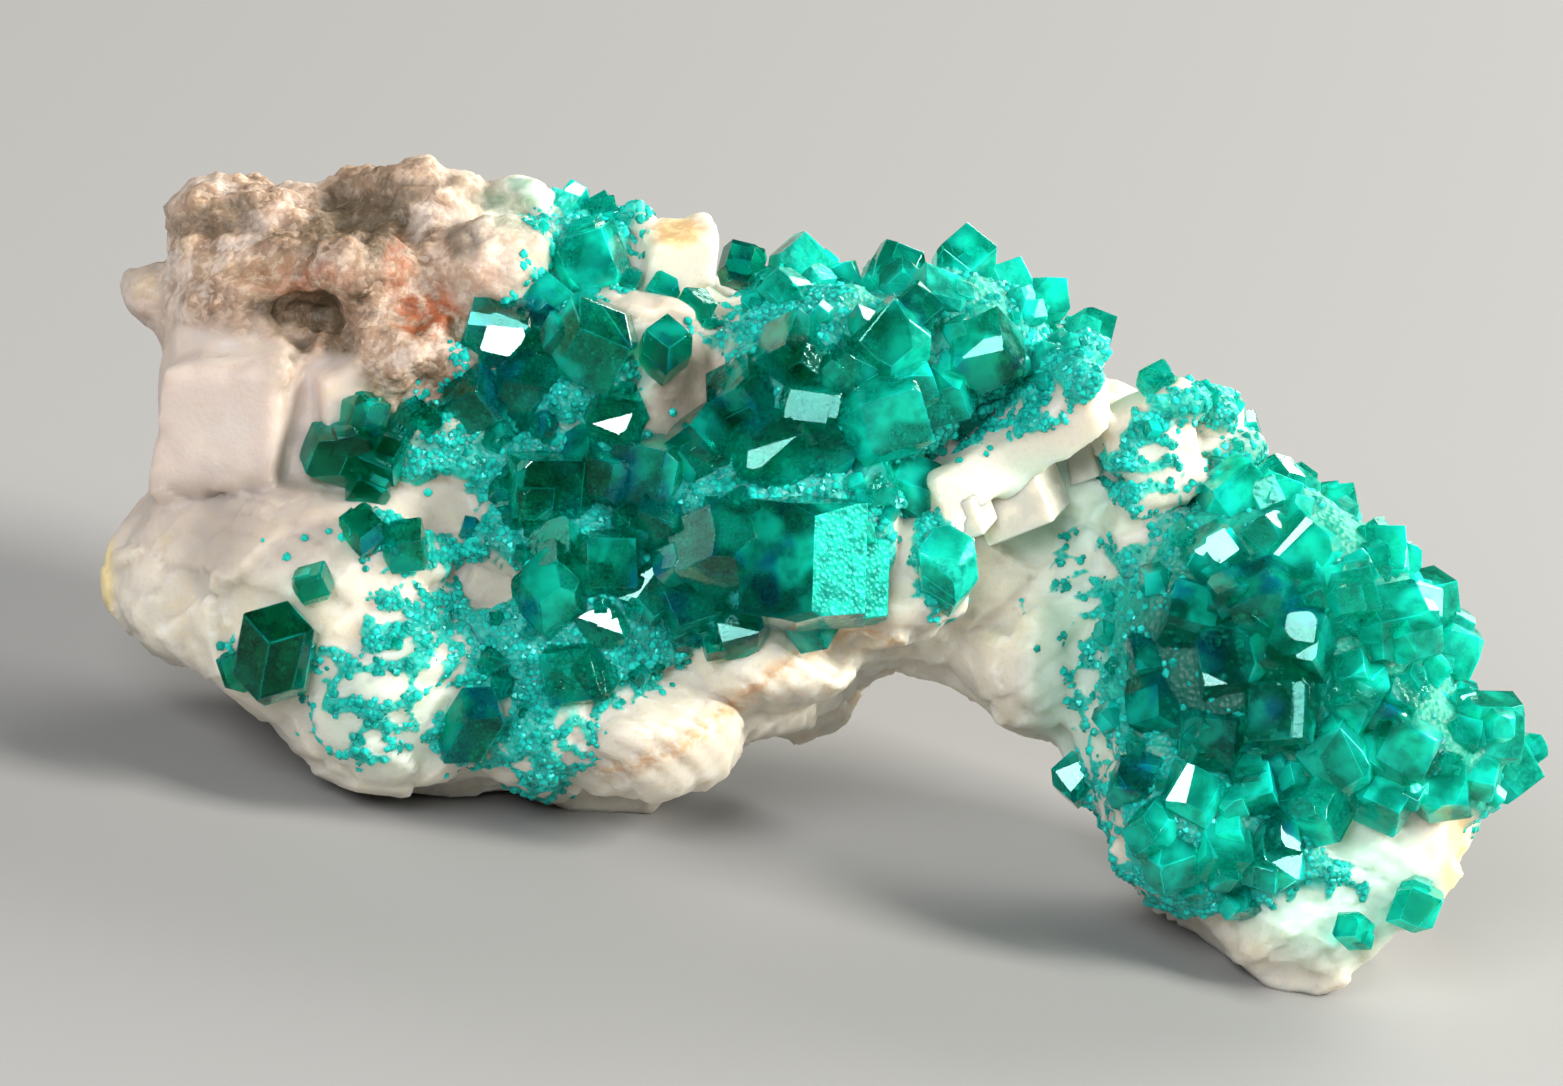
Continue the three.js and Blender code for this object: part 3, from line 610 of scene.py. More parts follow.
class CrystalSettings(bpy.types.PropertyGroup):
    glow: colour_setting("Dioptase", "Colour that the dioptase lets through", (0.0, 0.93, 0.895))
    depth: amount_setting(
        "Depth of colour", "How strongly the dioptase absorbs the rest, per metre", 1250
    )
    deep: amount_setting("Depth of dark crystals", "The same for the dark crystals, per metre", 8000)
    body: colour_setting(
        "Cloudy dioptase", "Colour of the cloudy parts in the crystals", (0.010, 0.90, 0.66)
    )
    cloud: share_setting("Cloudiness", "How cloudy the crystals are at most", 0.42)
    edge: share_setting("Edge", "Width of the worn edges as a share of a crystal's radius", 0.028, 0.2)
    variety: share_setting(
        "Uneven growth", "How far a crystal's faces are off their regular place", 0.09, 0.3
    )
    offshoots: amount_setting("Offshoots", "Smaller crystals on a crystal of 1 mm radius", 0.8)
    small: count_setting("Small crystals", "How many small crystals fill the gaps", 430)


class CrustSettings(bpy.types.PropertyGroup):
    spacing: length_setting("Spacing", "Least distance between two grains", 0.165 * MM, 0.05 * MM)
    grain: length_setting("Grain", "Radius of a middling grain", 0.14 * MM, 0.02 * MM)
    colour: colour_setting("Crust", "Colour of the turquoise crust", (0.008, 0.50, 0.41))


class StageSettings(bpy.types.PropertyGroup):
    distance: length_setting("Camera distance", "From the camera to the specimen's face", 0.42, 0.1)
    floor: colour_setting("Floor", "Colour of the floor", (0.27, 0.27, 0.27))
    key: amount_setting("Key light", "Power of the light from the upper right", 3.7, "POWER")
    fill: amount_setting("Fill light", "Power of the light from the upper front", 2.2, "POWER")
    side: amount_setting("Side light", "Power of the light from the left", 0.4, "POWER")
    rim: amount_setting("Rim light", "Power of the light from behind", 2.2, "POWER")
    sky: amount_setting("Surroundings", "Brightness of the surroundings", 0.06)


class Wire:
    """A socket of a node tree. Python's operators on it add Math nodes."""

    def __init__(self, wiring, socket):
        self.wiring = wiring
        self.socket = socket

    def beside(self, output):
        """Another output of the same node."""
        return Wire(self.wiring, self.socket.node.outputs[output])

    def maths(self, operation, *values):
        return self.wiring.node("ShaderNodeMath", {"operation": operation}, dict(enumerate(values)))

    def __add__(self, other):
        return self.maths("ADD", self, other)

    __radd__ = __add__

    def __mul__(self, other):
        return self.maths("MULTIPLY", self, other)

    __rmul__ = __mul__

    def __sub__(self, other):
        return self.maths("SUBTRACT", self, other)

    def __rsub__(self, other):
        return self.maths("SUBTRACT", other, self)

    def clamped(self):
        return self.wiring.node("ShaderNodeClamp", {}, {"Value": self})


class Wiring:
    """A node tree that is being wired."""

    def __init__(self, tree):
        self.tree = tree

    def node(self, kind, settings=None, inputs=None, output=0):
        """Adds a node with its settings first, then the values or links of its sockets. It gives one
        of the node's outputs, where it has any."""
        made = self.tree.nodes.new(kind)
        for name, value in (settings or {}).items():
            if name == "stops":
                self.set_stops(made.color_ramp, value)
            else:
                setattr(made, name, value)
        for name, value in (inputs or {}).items():
            if isinstance(value, Wire):
                self.tree.links.new(value.socket, made.inputs[name])
            else:
                made.inputs[name].default_value = value
        return Wire(self, made.outputs[output]) if made.outputs else None

    @staticmethod
    def set_stops(ramp, stops):
        while len(ramp.elements) > len(stops):
            ramp.elements.remove(ramp.elements[-1])
        while len(ramp.elements) < len(stops):
            ramp.elements.new(1)
        for element, (position, colour) in zip(ramp.elements, stops):
            element.position = position
            element.color = (*colour, 1)


class Finish(Wiring):
    """A material that is being wired. Its patterns have their sizes in millimetres."""

    def __init__(self, name):
        self.material = bpy.data.materials.new(name)
        self.material.use_nodes = True
        super().__init__(self.material.node_tree)
        self.tree.nodes.clear()
        place = self.node("ShaderNodeTexCoord", output="Object")
        self.place = self.node(
            "ShaderNodeVectorMath", {"operation": "SCALE"}, {0: place, "Scale": 1 / MM}
        )

    def attribute(self, name):
        return self.node("ShaderNodeAttribute", {"attribute_name": name}, output="Fac")

    def noise(self, size, detail=3, roughness=0.55):
        """Noise with blotches of about that size."""
        inputs = {"Vector": self.place, "Scale": 1 / size, "Detail": detail, "Roughness": roughness}
        return self.node("ShaderNodeTexNoise", {}, inputs, "Fac")

    def cells(self, size, output="Distance"):
        """Cells of about that size, each a rounded hollow or one colour."""
        return self.node(
            "ShaderNodeTexVoronoi", {}, {"Vector": self.place, "Scale": 1 / size}, output
        )

    def between(self, value, low, high):
        """0 where value is under low, 1 where it is over high, smooth between."""
        inputs = {"Value": value, "From Min": low, "From Max": high}
        return self.node("ShaderNodeMapRange", {"interpolation_type": "SMOOTHSTEP"}, inputs)

    def mix(self, factor, a, b):
        """Two colours mixed: a where factor is 0, b where it is 1. The node's colour inputs are 6 and
        7, and its colour output is 2."""
        a, b = (c if isinstance(c, Wire) else (*c, 1) for c in (a, b))
        return self.node("ShaderNodeMix", {"data_type": "RGBA"}, {0: factor, 6: a, 7: b}, 2)

    def layers(self, colour, coats):
        """A colour with others laid over it in turn, each with the factor that comes before it."""
        for factor, coat in coats:
            colour = self.mix(factor, colour, coat)
        return colour

    def blend(self, factor, a, b):
        """Two shaders mixed: a where factor is 0, b where it is 1."""
        return self.node("ShaderNodeMixShader", {}, {0: factor, 1: a, 2: b})

    def bump(self, height, depth, strength, normal=None):
        inputs = {"Height": height, "Distance": depth * MM, "Strength": strength}
        if normal:
            inputs["Normal"] = normal
        return self.node("ShaderNodeBump", {}, inputs)

    def principled(self, **inputs):
        named = {name.replace("_", " "): value for name, value in inputs.items()}
        for name in {"Base Color", "Specular Tint"} & named.keys():
            if not isinstance(named[name], Wire):
                named[name] = (*named[name], 1)
        return self.node("ShaderNodeBsdfPrincipled", {}, named)

    def translucent(self, weight, radius, reach, **inputs):
        """A shader that light wanders in: how much of it does, how far by colour, and the reach."""
        return self.principled(
            Subsurface_Weight=weight, Subsurface_Radius=radius, Subsurface_Scale=reach * MM, **inputs
        )

    def done(self, surface, **volume):
        """The material, with its surface and, where it has one, its volume."""
        self.node("ShaderNodeOutputMaterial", {}, {"Surface": surface, **volume})
        return self.material


def dioptase_finish(settings, name, density, edge, waves, haze, blue, blue_reflection):
    """Deep green see-through dioptase: the colour is in its depth. Density is how much it absorbs,
    edge how pale its worn edges are, a painted highlight, waves how uneven its faces are and haze how
    cloudy it is. Blue is how strongly the other colour, a painted reflection of blue light, shows in
    its cloudy parts."""
    finish = Finish(name)
    veils = finish.noise(0.9, 4)
    normal = finish.bump(finish.noise(0.5, 3), waves, 0.5)
    mirror = {"Coat_Weight": finish.attribute("flash"), "Coat_IOR": 1.6, "Coat_Roughness": 0.04}
    clear = finish.principled(
        Base_Color=(0.04, 0.96, 0.86), Roughness=finish.between(veils, 0.45, 0.75) * 0.1 + 0.03,
        IOR=1.66, Transmission_Weight=1.0, Specular_Tint=(0.15, 0.45, 0.41), Normal=normal, **mirror,
    )
    milky = finish.mix(
        finish.between(veils, 0.3, 0.6), tuple(0.5 * c for c in settings.body), settings.body
    )
    # Blotches of the other colour: a painted reflection of blue light in the cloudy parts.
    milky = finish.mix(finish.between(finish.noise(2.2, 2), 0.52, 0.66) * blue, milky, blue_reflection)
    cloudy = finish.translucent(
        1.0, (0.1, 1.0, 0.8), 1.2, Base_Color=milky, Roughness=0.12, IOR=1.5,
        Specular_Tint=(0.3, 0.9, 0.85), Normal=normal, **mirror,
    )
    glow = finish.attribute("glow")
    tone = finish.attribute("tone")
    # The cloudy share is painted light: milky where the glow attribute is high, lighter or darker by
    # each face's tone of painted light and shade, and paler on the narrow edge faces as painted
    # highlight.
    cloud = (glow * 0.5 + tone * tone * 0.5) * (veils * 0.8 + 0.6) * settings.cloud * haze
    cloud = cloud * (finish.between(finish.noise(1.9, 1), 0.42, 0.58) * 1.3 + 0.35)
    cloud = (cloud + finish.attribute("edge") * edge).clamped()
    crust = finish.between(finish.noise(0.55, 6, 0.72), 0.38, 0.58)
    frosted = finish.translucent(
        1.0, (0.3, 1.0, 0.8), 0.6, Roughness=0.3, IOR=1.5, Specular_Tint=(0.1, 0.8, 0.7),
        Base_Color=finish.mix(crust, (0.003, 0.24, 0.19), (0.012, 0.56, 0.42)),
        Normal=finish.bump(finish.cells(0.16), 0.035, 0.7),
    )
    frost = finish.attribute("frost") * 1.6 + finish.noise(0.6, 5, 0.65) * 1.5 - 1.35
    absorb = {"Color": (*settings.glow, 1), "Density": density}
    return finish.done(
        finish.blend(frost.clamped(), finish.blend(cloud, clear, cloudy), frosted),
        Volume=finish.node("ShaderNodeVolumeAbsorption", {}, absorb),
    )


def crust_finish(settings):
    """The crust's fine grains: bright turquoise, with sparkling faces."""
    finish = Finish("dioptase crust")
    red, green, blue = settings.colour
    dark = (0.45 * red, 0.45 * green, 0.45 * blue)
    bright = (red * 2.4, green * 1.3, blue * 1.35)
    return finish.done(
        finish.translucent(
            0.5, (0.1, 1.0, 0.8), 0.35, Roughness=0.2, IOR=1.5, Specular_Tint=(0.2, 0.85, 0.8),
            Base_Color=finish.mix(finish.between(finish.noise(0.5, 3), 0.3, 0.7), dark, bright),
            Normal=finish.bump(finish.noise(0.07, 1), 0.012, 0.6),
        )
    )


def matrix_finish(settings):
    """Translucent calcite, the granular host rock, the rust on both and the green ground."""
    finish = Finish("calcite and host rock")
    host, dark, rust, blush = (finish.attribute(n) for n in ("host", "dark", "rust", "blush"))
    broad = finish.noise(3.0, 3)
    fine = finish.noise(0.45, 4, 0.65)
    patches = finish.noise(1.5, 6, 0.62)
    shades = finish.cells(0.2, output="Color")
    sheen = finish.noise(0.8, 3)

    red, green, blue = settings.pale
    cream = (red * 0.98, green * 0.88, blue * 0.70)
    # The green ground under the crystals: darker where they crowd and near black in the dark zones,
    # painted shade between the crystals and in the hollows.
    ground = finish.layers(
        finish.mix(fine, (0.004, 0.36, 0.28), (0.02, 0.72, 0.57)),
        [(finish.attribute("massed"), (0.002, 0.36, 0.25)), (dark * 0.85, (0.001, 0.10, 0.075))],
    )
    grown = finish.between(finish.attribute("green"), 0.3, 0.8)
    calcite = finish.layers(
        settings.pale,
        [
            # Pinkish calcite at the left: painted shade on the upper lobe, kept off the lower part,
            # which stays pale as painted light from below.
            (blush * finish.between(broad, 0.1, 0.5), settings.blush),
            (finish.between(finish.noise(1.6, 4), 0.52, 0.72) * 0.5, cream),
            (finish.between(finish.noise(2.2, 3), 0.5, 0.7) * 0.35, (0.62, 0.58, 0.54)),
            (finish.between(finish.noise(0.16, 3, 0.7), 0.5, 0.68) * 0.3, (0.54, 0.49, 0.42)),
            # Grime and painted shade.
            (dark * 0.8, (0.20, 0.16, 0.13)),
            (finish.attribute("tinge"), (0.42, 0.84, 0.70)),
            # Amber, on the thin rims a painted glow of light through the calcite.
            (finish.attribute("amber"), (0.84, 0.66, 0.30)),
            (rust * finish.between(fine, 0.35, 0.6), (0.58, 0.34, 0.15)),
            (grown, ground),
        ],
    )
    pitted = finish.bump(finish.noise(0.2, 5, 0.65), 0.05, 0.5)
    smooth = finish.translucent(
        1.0, (1.0, 0.82, 0.6), 1.1, Base_Color=calcite, Roughness=sheen * 0.3 + 0.35, IOR=1.55,
        Normal=finish.bump(finish.cells(0.22) * grown, 0.12, 0.8, pitted),
    )

    stops = [
        (0.34, (0.13, 0.085, 0.045)),
        (0.45, settings.earth),
        (0.55, (0.44, 0.30, 0.205)),
        (0.68, (0.70, 0.57, 0.47)),
    ]
    earthy = finish.layers(
        finish.node("ShaderNodeValToRGB", {"stops": stops}, {"Fac": patches}, "Color"),
        [
            (finish.between(broad, 0.5, 0.7) * 0.5, (0.50, 0.36, 0.20)),
            (finish.between(finish.noise(2.4, 5), 0.52, 0.64) * 0.65, (0.70, 0.60, 0.53)),
            (finish.between(shades, 0.5, 0.8) * 0.3, (0.78, 0.64, 0.52)),
            (finish.between(shades, 0.45, 0.15) * 0.3, (0.22, 0.14, 0.09)),
            # Dark pits: grime and painted shade.
            (dark * finish.between(fine, 0.9, 0.45), (0.12, 0.085, 0.048)),
            (rust * finish.between(finish.noise(0.7, 5, 0.7), 0.4, 0.52), settings.rust),
        ],
    )
    relief = finish.bump(1 - finish.cells(0.2), 0.045, 0.8, finish.bump(patches, 0.35, 0.7))
    rough = finish.translucent(
        0.6, (1.0, 0.7, 0.5), 0.45, Base_Color=earthy, Roughness=sheen * 0.4 + 0.35, IOR=1.5,
        Normal=relief,
    )
    return finish.done(finish.blend(host, smooth, rough))


def rhomb_finish(settings):
    """Cleaner, glassy calcite of the cleavage rhombs."""
    finish = Finish("calcite rhombs")
    haze = finish.noise(0.7, 3)
    colour = finish.mix(finish.between(haze, 0.35, 0.65), (0.60, 0.58, 0.51), settings.pale)
    return finish.done(
        finish.translucent(
            1.0, (1.0, 0.9, 0.75), 0.8, Base_Color=colour, Roughness=haze * 0.3 + 0.1, IOR=1.6,
            Normal=finish.bump(finish.noise(0.6, 2), 0.02, 0.4),
        )
    )


def floor_finish(colour):
    finish = Finish("studio floor")
    return finish.done(finish.principled(Base_Color=colour, Roughness=0.8))


def chance(a, b):
    """A repeatable number from 0 to 1 for each pair of whole numbers, the same as the solids use."""
    wave = math.sin(a * 127.1 + b * 311.7) * 43758.5453
    return wave - math.floor(wave)


def scrambled(rows):
    """A repeatable number from 0 to 1 for each row of three numbers."""
    wave = np.sin(rows @ np.array([12.9898, 78.233, 37.719])) * 43758.5453
    return wave - np.floor(wave)


def rise(values, start, over):
    """0 up to start, then up to 1 over that stretch."""
    return np.clip((values - start) / over, 0, 1)


def fall(values, end, over):
    """1 at first, then down to 0 at end over that stretch."""
    return np.clip((end - values) / over, 0, 1)


def linked(name, data):
    made = bpy.data.objects.new(name, data)
    bpy.context.scene.collection.objects.link(made)
    return made


def evaluated_mesh(source):
    """A plain mesh of what an object's modifiers make."""
    graph = bpy.context.evaluated_depsgraph_get()
    return bpy.data.meshes.new_from_object(source.evaluated_get(graph))


def mesh_of(shape, name):
    """A mesh of a bmesh, which it frees."""
    mesh = bpy.data.meshes.new(name)
    shape.to_mesh(mesh)
    shape.free()
    return mesh


def tree_of(shape):
    """A search tree of a bmesh, which it frees."""
    tree = BVHTree.FromBMesh(shape)
    shape.free()
    return tree


def at_place(spot, turn):
    """The matrix that turns something and then moves it to a spot."""
    return Matrix.Translation(spot) @ turn.to_matrix().to_4x4()


def new_piece(name, mesh, finish, replaced=()):
    """A finished piece in the row frame, riding on the specimen."""
    piece = linked(name, mesh)
    mesh.materials.clear()
    mesh.materials.append(finish)
    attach(piece, "root")
    if replaced:
        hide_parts(*replaced)


def in_face_frame(node):
    """A bmesh of a CAD node in the face frame, its doubles merged."""
    copy = bmesh.new()
    copy.from_mesh(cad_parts[node].data)
    bmesh.ops.transform(copy, matrix=ROW_TO_FACE, verts=copy.verts)
    bmesh.ops.remove_doubles(copy, verts=copy.verts, dist=MERGE_WITHIN)
    return copy


def finished_mesh(shape, name):
    """A mesh in the row frame of a bmesh in the face frame."""
    bmesh.ops.transform(shape, matrix=FACE_TO_ROW, verts=shape.verts)
    bmesh.ops.recalc_face_normals(shape, faces=shape.faces)
    return mesh_of(shape, name)


def cluster_nodes(name):
    """The CAD nodes of one cluster: the one with its name and those numbered after it."""
    whole = re.compile(f"dioptase_{name}(_[0-9]+)?")
    return [node for node in sorted(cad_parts) if whole.fullmatch(node)]


def dressed_rock():
    """A copy of the finished matrix, with its ground, in the face frame."""
    mesh = bpy.data.objects["matrix"].data.copy()
    mesh.transform(ROW_TO_FACE)
    return mesh


def rock_surface(tree, x, z, side):
    """Where a line of sight first meets the rock, and which way the rock faces there."""
    place, normal, _, _ = tree.ray_cast(Vector((x, side * FAR, z)), Vector((0, -side, 0)))
    if place is None:
        return EDGE_DEPTH, Vector((0, 0.6 * side, 0.8))
    return place.y, normal


def seat(tree, crystal, side, seed, angle):
    """The matrix that seats one crystal on the rock, as the solids do. An angle of 0 is left to
    chance."""
    x, z, radius, _, *axis = crystal
    depth, outwards = rock_surface(tree, x, z, side)
    scatter = Vector([chance(seed, i) - 0.5 for i in (1, 2, 3)]) * SCATTER
    along = Vector(axis[0]) if axis else outwards + scatter
    spot = (x, depth + side * STAND_OUT * radius, z)
    return stood(spot, along, angle or math.pi / 3 * chance(seed, 4))


def stood(spot, along, angle):
    """The matrix that stands a crystal at a spot, along a direction and turned about it."""
    turn = Vector((0, 0, 1)).rotation_difference(along.normalized())
    return at_place(spot, turn @ Quaternion((0, 0, 1), angle))


def cut_off(shape, point, normal):
    """Cuts a closed shape with a plane, leaves what lies behind it and closes the cut."""
    cut = bmesh.ops.bisect_plane(
        shape, geom=shape.verts[:] + shape.edges[:] + shape.faces[:], plane_co=point,
        plane_no=normal, clear_outer=True, dist=CUT_WITHIN,
    )
    edges = [e for e in cut["geom_cut"] if isinstance(e, bmesh.types.BMEdge)]
    bmesh.ops.contextual_create(shape, geom=edges)


def crystal_shape(radius, half_length, seed, variety, slope):
    """A dioptase crystal along +Z: six prism faces and three sloping faces at each end, each a little
    off its regular place."""
    shape = bmesh.new()
    bmesh.ops.create_cube(shape, size=4 * (radius + half_length))
    inner = radius * math.cos(math.pi / 6)
    cap = Vector((slope, 0, 1)).normalized()
    planes = []
    for i in range(6):
        turn = math.pi / 3 * (i + 0.5)
        normal = Vector((math.cos(turn), math.sin(turn), 0))
        planes.append((normal * inner * (1 + variety * (2 * chance(seed, 10 + i) - 1)), normal))
    for end in (1, -1):
        for i in range(3):
            turn = math.pi / 3 * (2 * i + (0 if end > 0 else 1))
            normal = Vector((math.cos(turn) * cap.x, math.sin(turn) * cap.x, end * cap.z))
            off = 1 + 0.5 * variety * (2 * chance(seed, 20 + i + 3 * end) - 1)
            planes.append((Vector((0, 0, end * half_length * off)), normal))
    for point, normal in planes:
        cut_off(shape, point, normal)
    for i in range(MINOR_FACES if slope == CAP_SLOPE else FEW_MINOR_FACES):
        up = 2 * chance(seed, 40 + i) - 1
        turn = 2 * math.pi * chance(seed, 60 + i)
        around = math.sqrt(1 - up * up)
        normal = Vector((around * math.cos(turn), around * math.sin(turn), up))
        reach = max(normal.dot(v.co) for v in shape.verts)
        cut_off(shape, normal * reach * (MINOR_LEAST + MINOR_SPREAD * chance(seed, 80 + i)), normal)
    bmesh.ops.remove_doubles(shape, verts=shape.verts, dist=1e-3 * radius)
    return shape


def worn(shape, width):
    """Bevels the edges of a shape a little."""
    bmesh.ops.bevel(
        shape, geom=shape.edges[:], offset=width, segments=1, profile=0.5, affect="EDGES",
        clamp_overlap=True,
    )
    return shape


def fused(shapes, name):
    """One closed mesh of all the shapes, which it frees."""
    group = bpy.data.collections.new("to fuse")
    meshes = [mesh_of(shape, "to fuse") for shape in shapes]
    first = linked("to fuse", meshes[0])
    for mesh in meshes[1:]:
        group.objects.link(bpy.data.objects.new("to fuse", mesh))
    if len(meshes) > 1:
        fuse = first.modifiers.new("fuse", "BOOLEAN")
        fuse.operation = "UNION"
        fuse.operand_type = "COLLECTION"
        fuse.collection = group
        fuse.solver = "MANIFOLD"
    made = evaluated_mesh(first)
    made.name = name
    for mesh in meshes:
        bpy.data.meshes.remove(mesh)
    bpy.data.collections.remove(group)
    return made


def add_shape(whole, part):
    """Adds a bmesh to another and frees it."""
    mesh = mesh_of(part, "part")
    whole.from_mesh(mesh)
    bpy.data.meshes.remove(mesh)


def glow_at(points):
    """How much the crystals glow at each point, from 0 for dark and clear to 1 for milky bright. The
    milky glow is painted light where the crystals look lit through, and the clear dark of the deep
    zones is painted shade.
    """
    bright = ellipse_cover(points, BRIGHT_ZONES) - ellipse_cover(points, DEEP_ZONES)
    behind = rise(points[:, 1], 4, 3)
    return np.clip(0.35 + 0.65 * bright * (1 - behind), 0, 1)


def ellipse_cover(points, zones):
    """How strongly each point of the face lies in any of the zones, from 0 to 1."""
    cover = np.zeros(len(points))
    for x, z, half_width, half_height, strength in zones:
        reach = np.hypot((points[:, 0] - x) / half_width, (points[:, 2] - z) / half_height)
        cover = np.maximum(cover, strength * fall(reach, ZONE_END, ZONE_FADE))
    return cover


def noise_at(points, size, offset=0.0):
    """Smooth noise of about -1 to 1 at each point, with blotches of that size in millimetres."""
    shift = Vector((offset, offset * 1.7, -offset))
    return np.array([noise.noise(Vector(p) / size + shift) for p in points.tolist()])


def billow_at(points, size, octaves, offset=0.0):
    """Noise in several sizes, from about -1 to 1."""
    shift = Vector((offset, -offset, offset * 0.6))
    return np.array(
        [noise.fractal(Vector(p) / size + shift, 0.9, 2.0, octaves) for p in points.tolist()]
    )


def bulges_at(points, size, offset=0.0):
    """Rounded bulges of about that size: 1 on top of each and 0 in the seams between."""
    shift = Vector((offset, offset, offset))
    nearest = [noise.voronoi(Vector(p) / size + shift)[0][0] for p in points.tolist()]
    return 1 - np.clip(np.array(nearest), 0, 1) ** 2


def cleavage_steps(points, size):
    """An offset from -0.5 to 0.5 for each point, the same throughout a rhomb of calcite cleavage."""
    steep = CLEAVAGE_NORMAL
    normals = [
        (math.cos(a) * math.sin(steep), math.sin(a) * math.sin(steep), math.cos(steep))
        for a in (0, 2 * math.pi / 3, 4 * math.pi / 3)
    ]
    turned = np.array(normals) @ np.array(Euler(CLEAVAGE_TURNS).to_matrix())
    return scrambled(np.floor(points @ turned.T / size)) - 0.5


def distance_to_line(points, line):
    """Distance on the face from each point to a line of straight stretches."""
    flat = points[:, [0, 2]]
    best = np.full(len(points), np.inf)
    for start, end in zip(line, line[1:]):
        a, b = np.array(start), np.array(end)
        along = np.clip((flat - a) @ (b - a) / ((b - a) @ (b - a)), 0, 1)
        gap = flat - a - along[:, None] * (b - a)
        best = np.minimum(best, np.hypot(gap[:, 0], gap[:, 1]))
    return best


def calcite_block(x, y, z, width, depth, height, *turns):
    """A cleavage block of calcite: a box leant over along two of its edges."""
    lean = Matrix.Identity(4)
    lean[0][1] = CLEAVAGE_LEAN
    lean[1][2] = CLEAVAGE_LEAN
    a, b, c = (math.radians(t) for t in turns)
    turn = Matrix.Rotation(a, 4, "X") @ Matrix.Rotation(b, 4, "Y") @ Matrix.Rotation(c, 4, "Z")
    block = bmesh.new()
    bmesh.ops.create_cube(block, size=1)
    place = Matrix.Translation((x, y, z)) @ turn @ lean @ Matrix.Diagonal((width, depth, height, 1))
    bmesh.ops.transform(block, matrix=place, verts=block.verts)
    return block


def blocks_tree():
    """A search tree of the blocky calcite crystals."""
    whole = bmesh.new()
    for block in CALCITE_BLOCKS:
        add_shape(whole, calcite_block(*block))
    return tree_of(whole)


def evened(points, edges, weight, rounds):
    """Points moved towards the middle of their neighbours, again and again."""
    ends = np.concatenate([edges, edges[:, ::-1]])
    count = np.bincount(ends[:, 0], minlength=len(points))[:, None]
    for _ in range(rounds):
        total = np.stack(
            [np.bincount(ends[:, 0], points[ends[:, 1], i], len(points)) for i in range(3)], 1
        )
        points = points + weight[:, None] * (total / np.maximum(count, 1) - points)
    return points


def mesh_arrays(mesh):
    points = np.empty(len(mesh.vertices) * 3)
    mesh.vertices.foreach_get("co", points)
    edges = np.empty(len(mesh.edges) * 2, int)
    mesh.edges.foreach_get("vertices", edges)
    return points.reshape(-1, 3), edges.reshape(-1, 2)


def outward_normals(mesh, points):
    mesh.vertices.foreach_set("co", points.astype(np.float32).ravel())
    mesh.update()
    normals = np.empty(len(points) * 3, np.float32)
    mesh.vertices.foreach_get("normal", normals)
    return normals.reshape(-1, 3).astype(float)


def remeshed(mesh, size):
    """A mesh of even squares round a closed mesh."""
    source = linked("remesh source", mesh)
    remesh = source.modifiers.new("even squares", "REMESH")
    remesh.mode = "VOXEL"
    remesh.voxel_size = size
    made = evaluated_mesh(source)
    bpy.data.objects.remove(source)
    return made


def paint(mesh, name, values, domain="POINT"):
    """Gives each vertex or face a value that the finishes read."""
    attribute = mesh.attributes.new(name, "FLOAT", domain)
    attribute.data.foreach_set("value", np.clip(values, 0, 1).astype(np.float32))


def height_above_floor(points):
    return points @ FLOOR_UP + FACE_ORIGIN[2]


def blush_and_shade_at(points):
    """How pinkish the calcite is, from 0 to 1. The pinkish colour also darkens the upper left lobe as
    painted shade, and fades out low down, so that the lower calcite stays pale as painted light from
    below.
    """
    left = fall(points[:, 0], -9, 6) * rise(points[:, 2], 13, 4)
    return left * fall(points[:, 1], 9, 5)


def ground_cover(points):
    """How thickly dioptase has grown over each point, from 0 to 1."""
    wander = np.stack([noise_at(points, 1.1, 5.0), 0 * points[:, 0], noise_at(points, 1.1, 9.0)], 1)
    wandered = points + 0.45 * wander
    cover = ellipse_cover(wandered, CRUST_ZONES) - ellipse_cover(wandered, BARE_ZONES)
    front = fall(points[:, 1], 5.0, 2.4)
    around = 0.55 * np.clip(noise_at(points, 4.5, 21.0) * 2.4, 0, 1) * (points[:, 0] > -14)
    around = np.maximum(around, ellipse_cover(wandered, BACK_ZONES))
    return np.clip(front * cover + (1 - front) * around, 0, 1)


def massed_at(points):
    """Where larger crystals crowd on a green ground, from 0 to 1: on the front only. The finish
    darkens that ground there as painted shade.
    """
    return ellipse_cover(points, MASSED_ZONES) * fall(points[:, 1], 5.5, 2)


def grown_over(points):
    """How thickly the fine crust covers each point, from 0 to 1, in worm-like clumps where thin."""
    cover = ground_cover(points)
    worms = 1 - 2.6 * np.abs(noise_at(points, 0.85, 33.0))
    clumps = rise(1.75 * cover + 0.75 * worms * (cover > 0.02), 1.05, 0.3)
    return clumps * (1 - 0.9 * massed_at(points))


def host_rock_at(points, crisp):
    """How far the rock at each point is host rock, from 0 to 1. Calcite blocks are free of it."""
    host = ellipse_cover(points + 0.6 * noise_at(points, 1.5)[:, None], HOST_ROCK_ZONES)
    back = rise(points[:, 1], 3, 2) * fall(points[:, 0], -8, 3)
    return np.maximum(host, back * rise(points[:, 2], 16, 4)) * (1 - crisp)


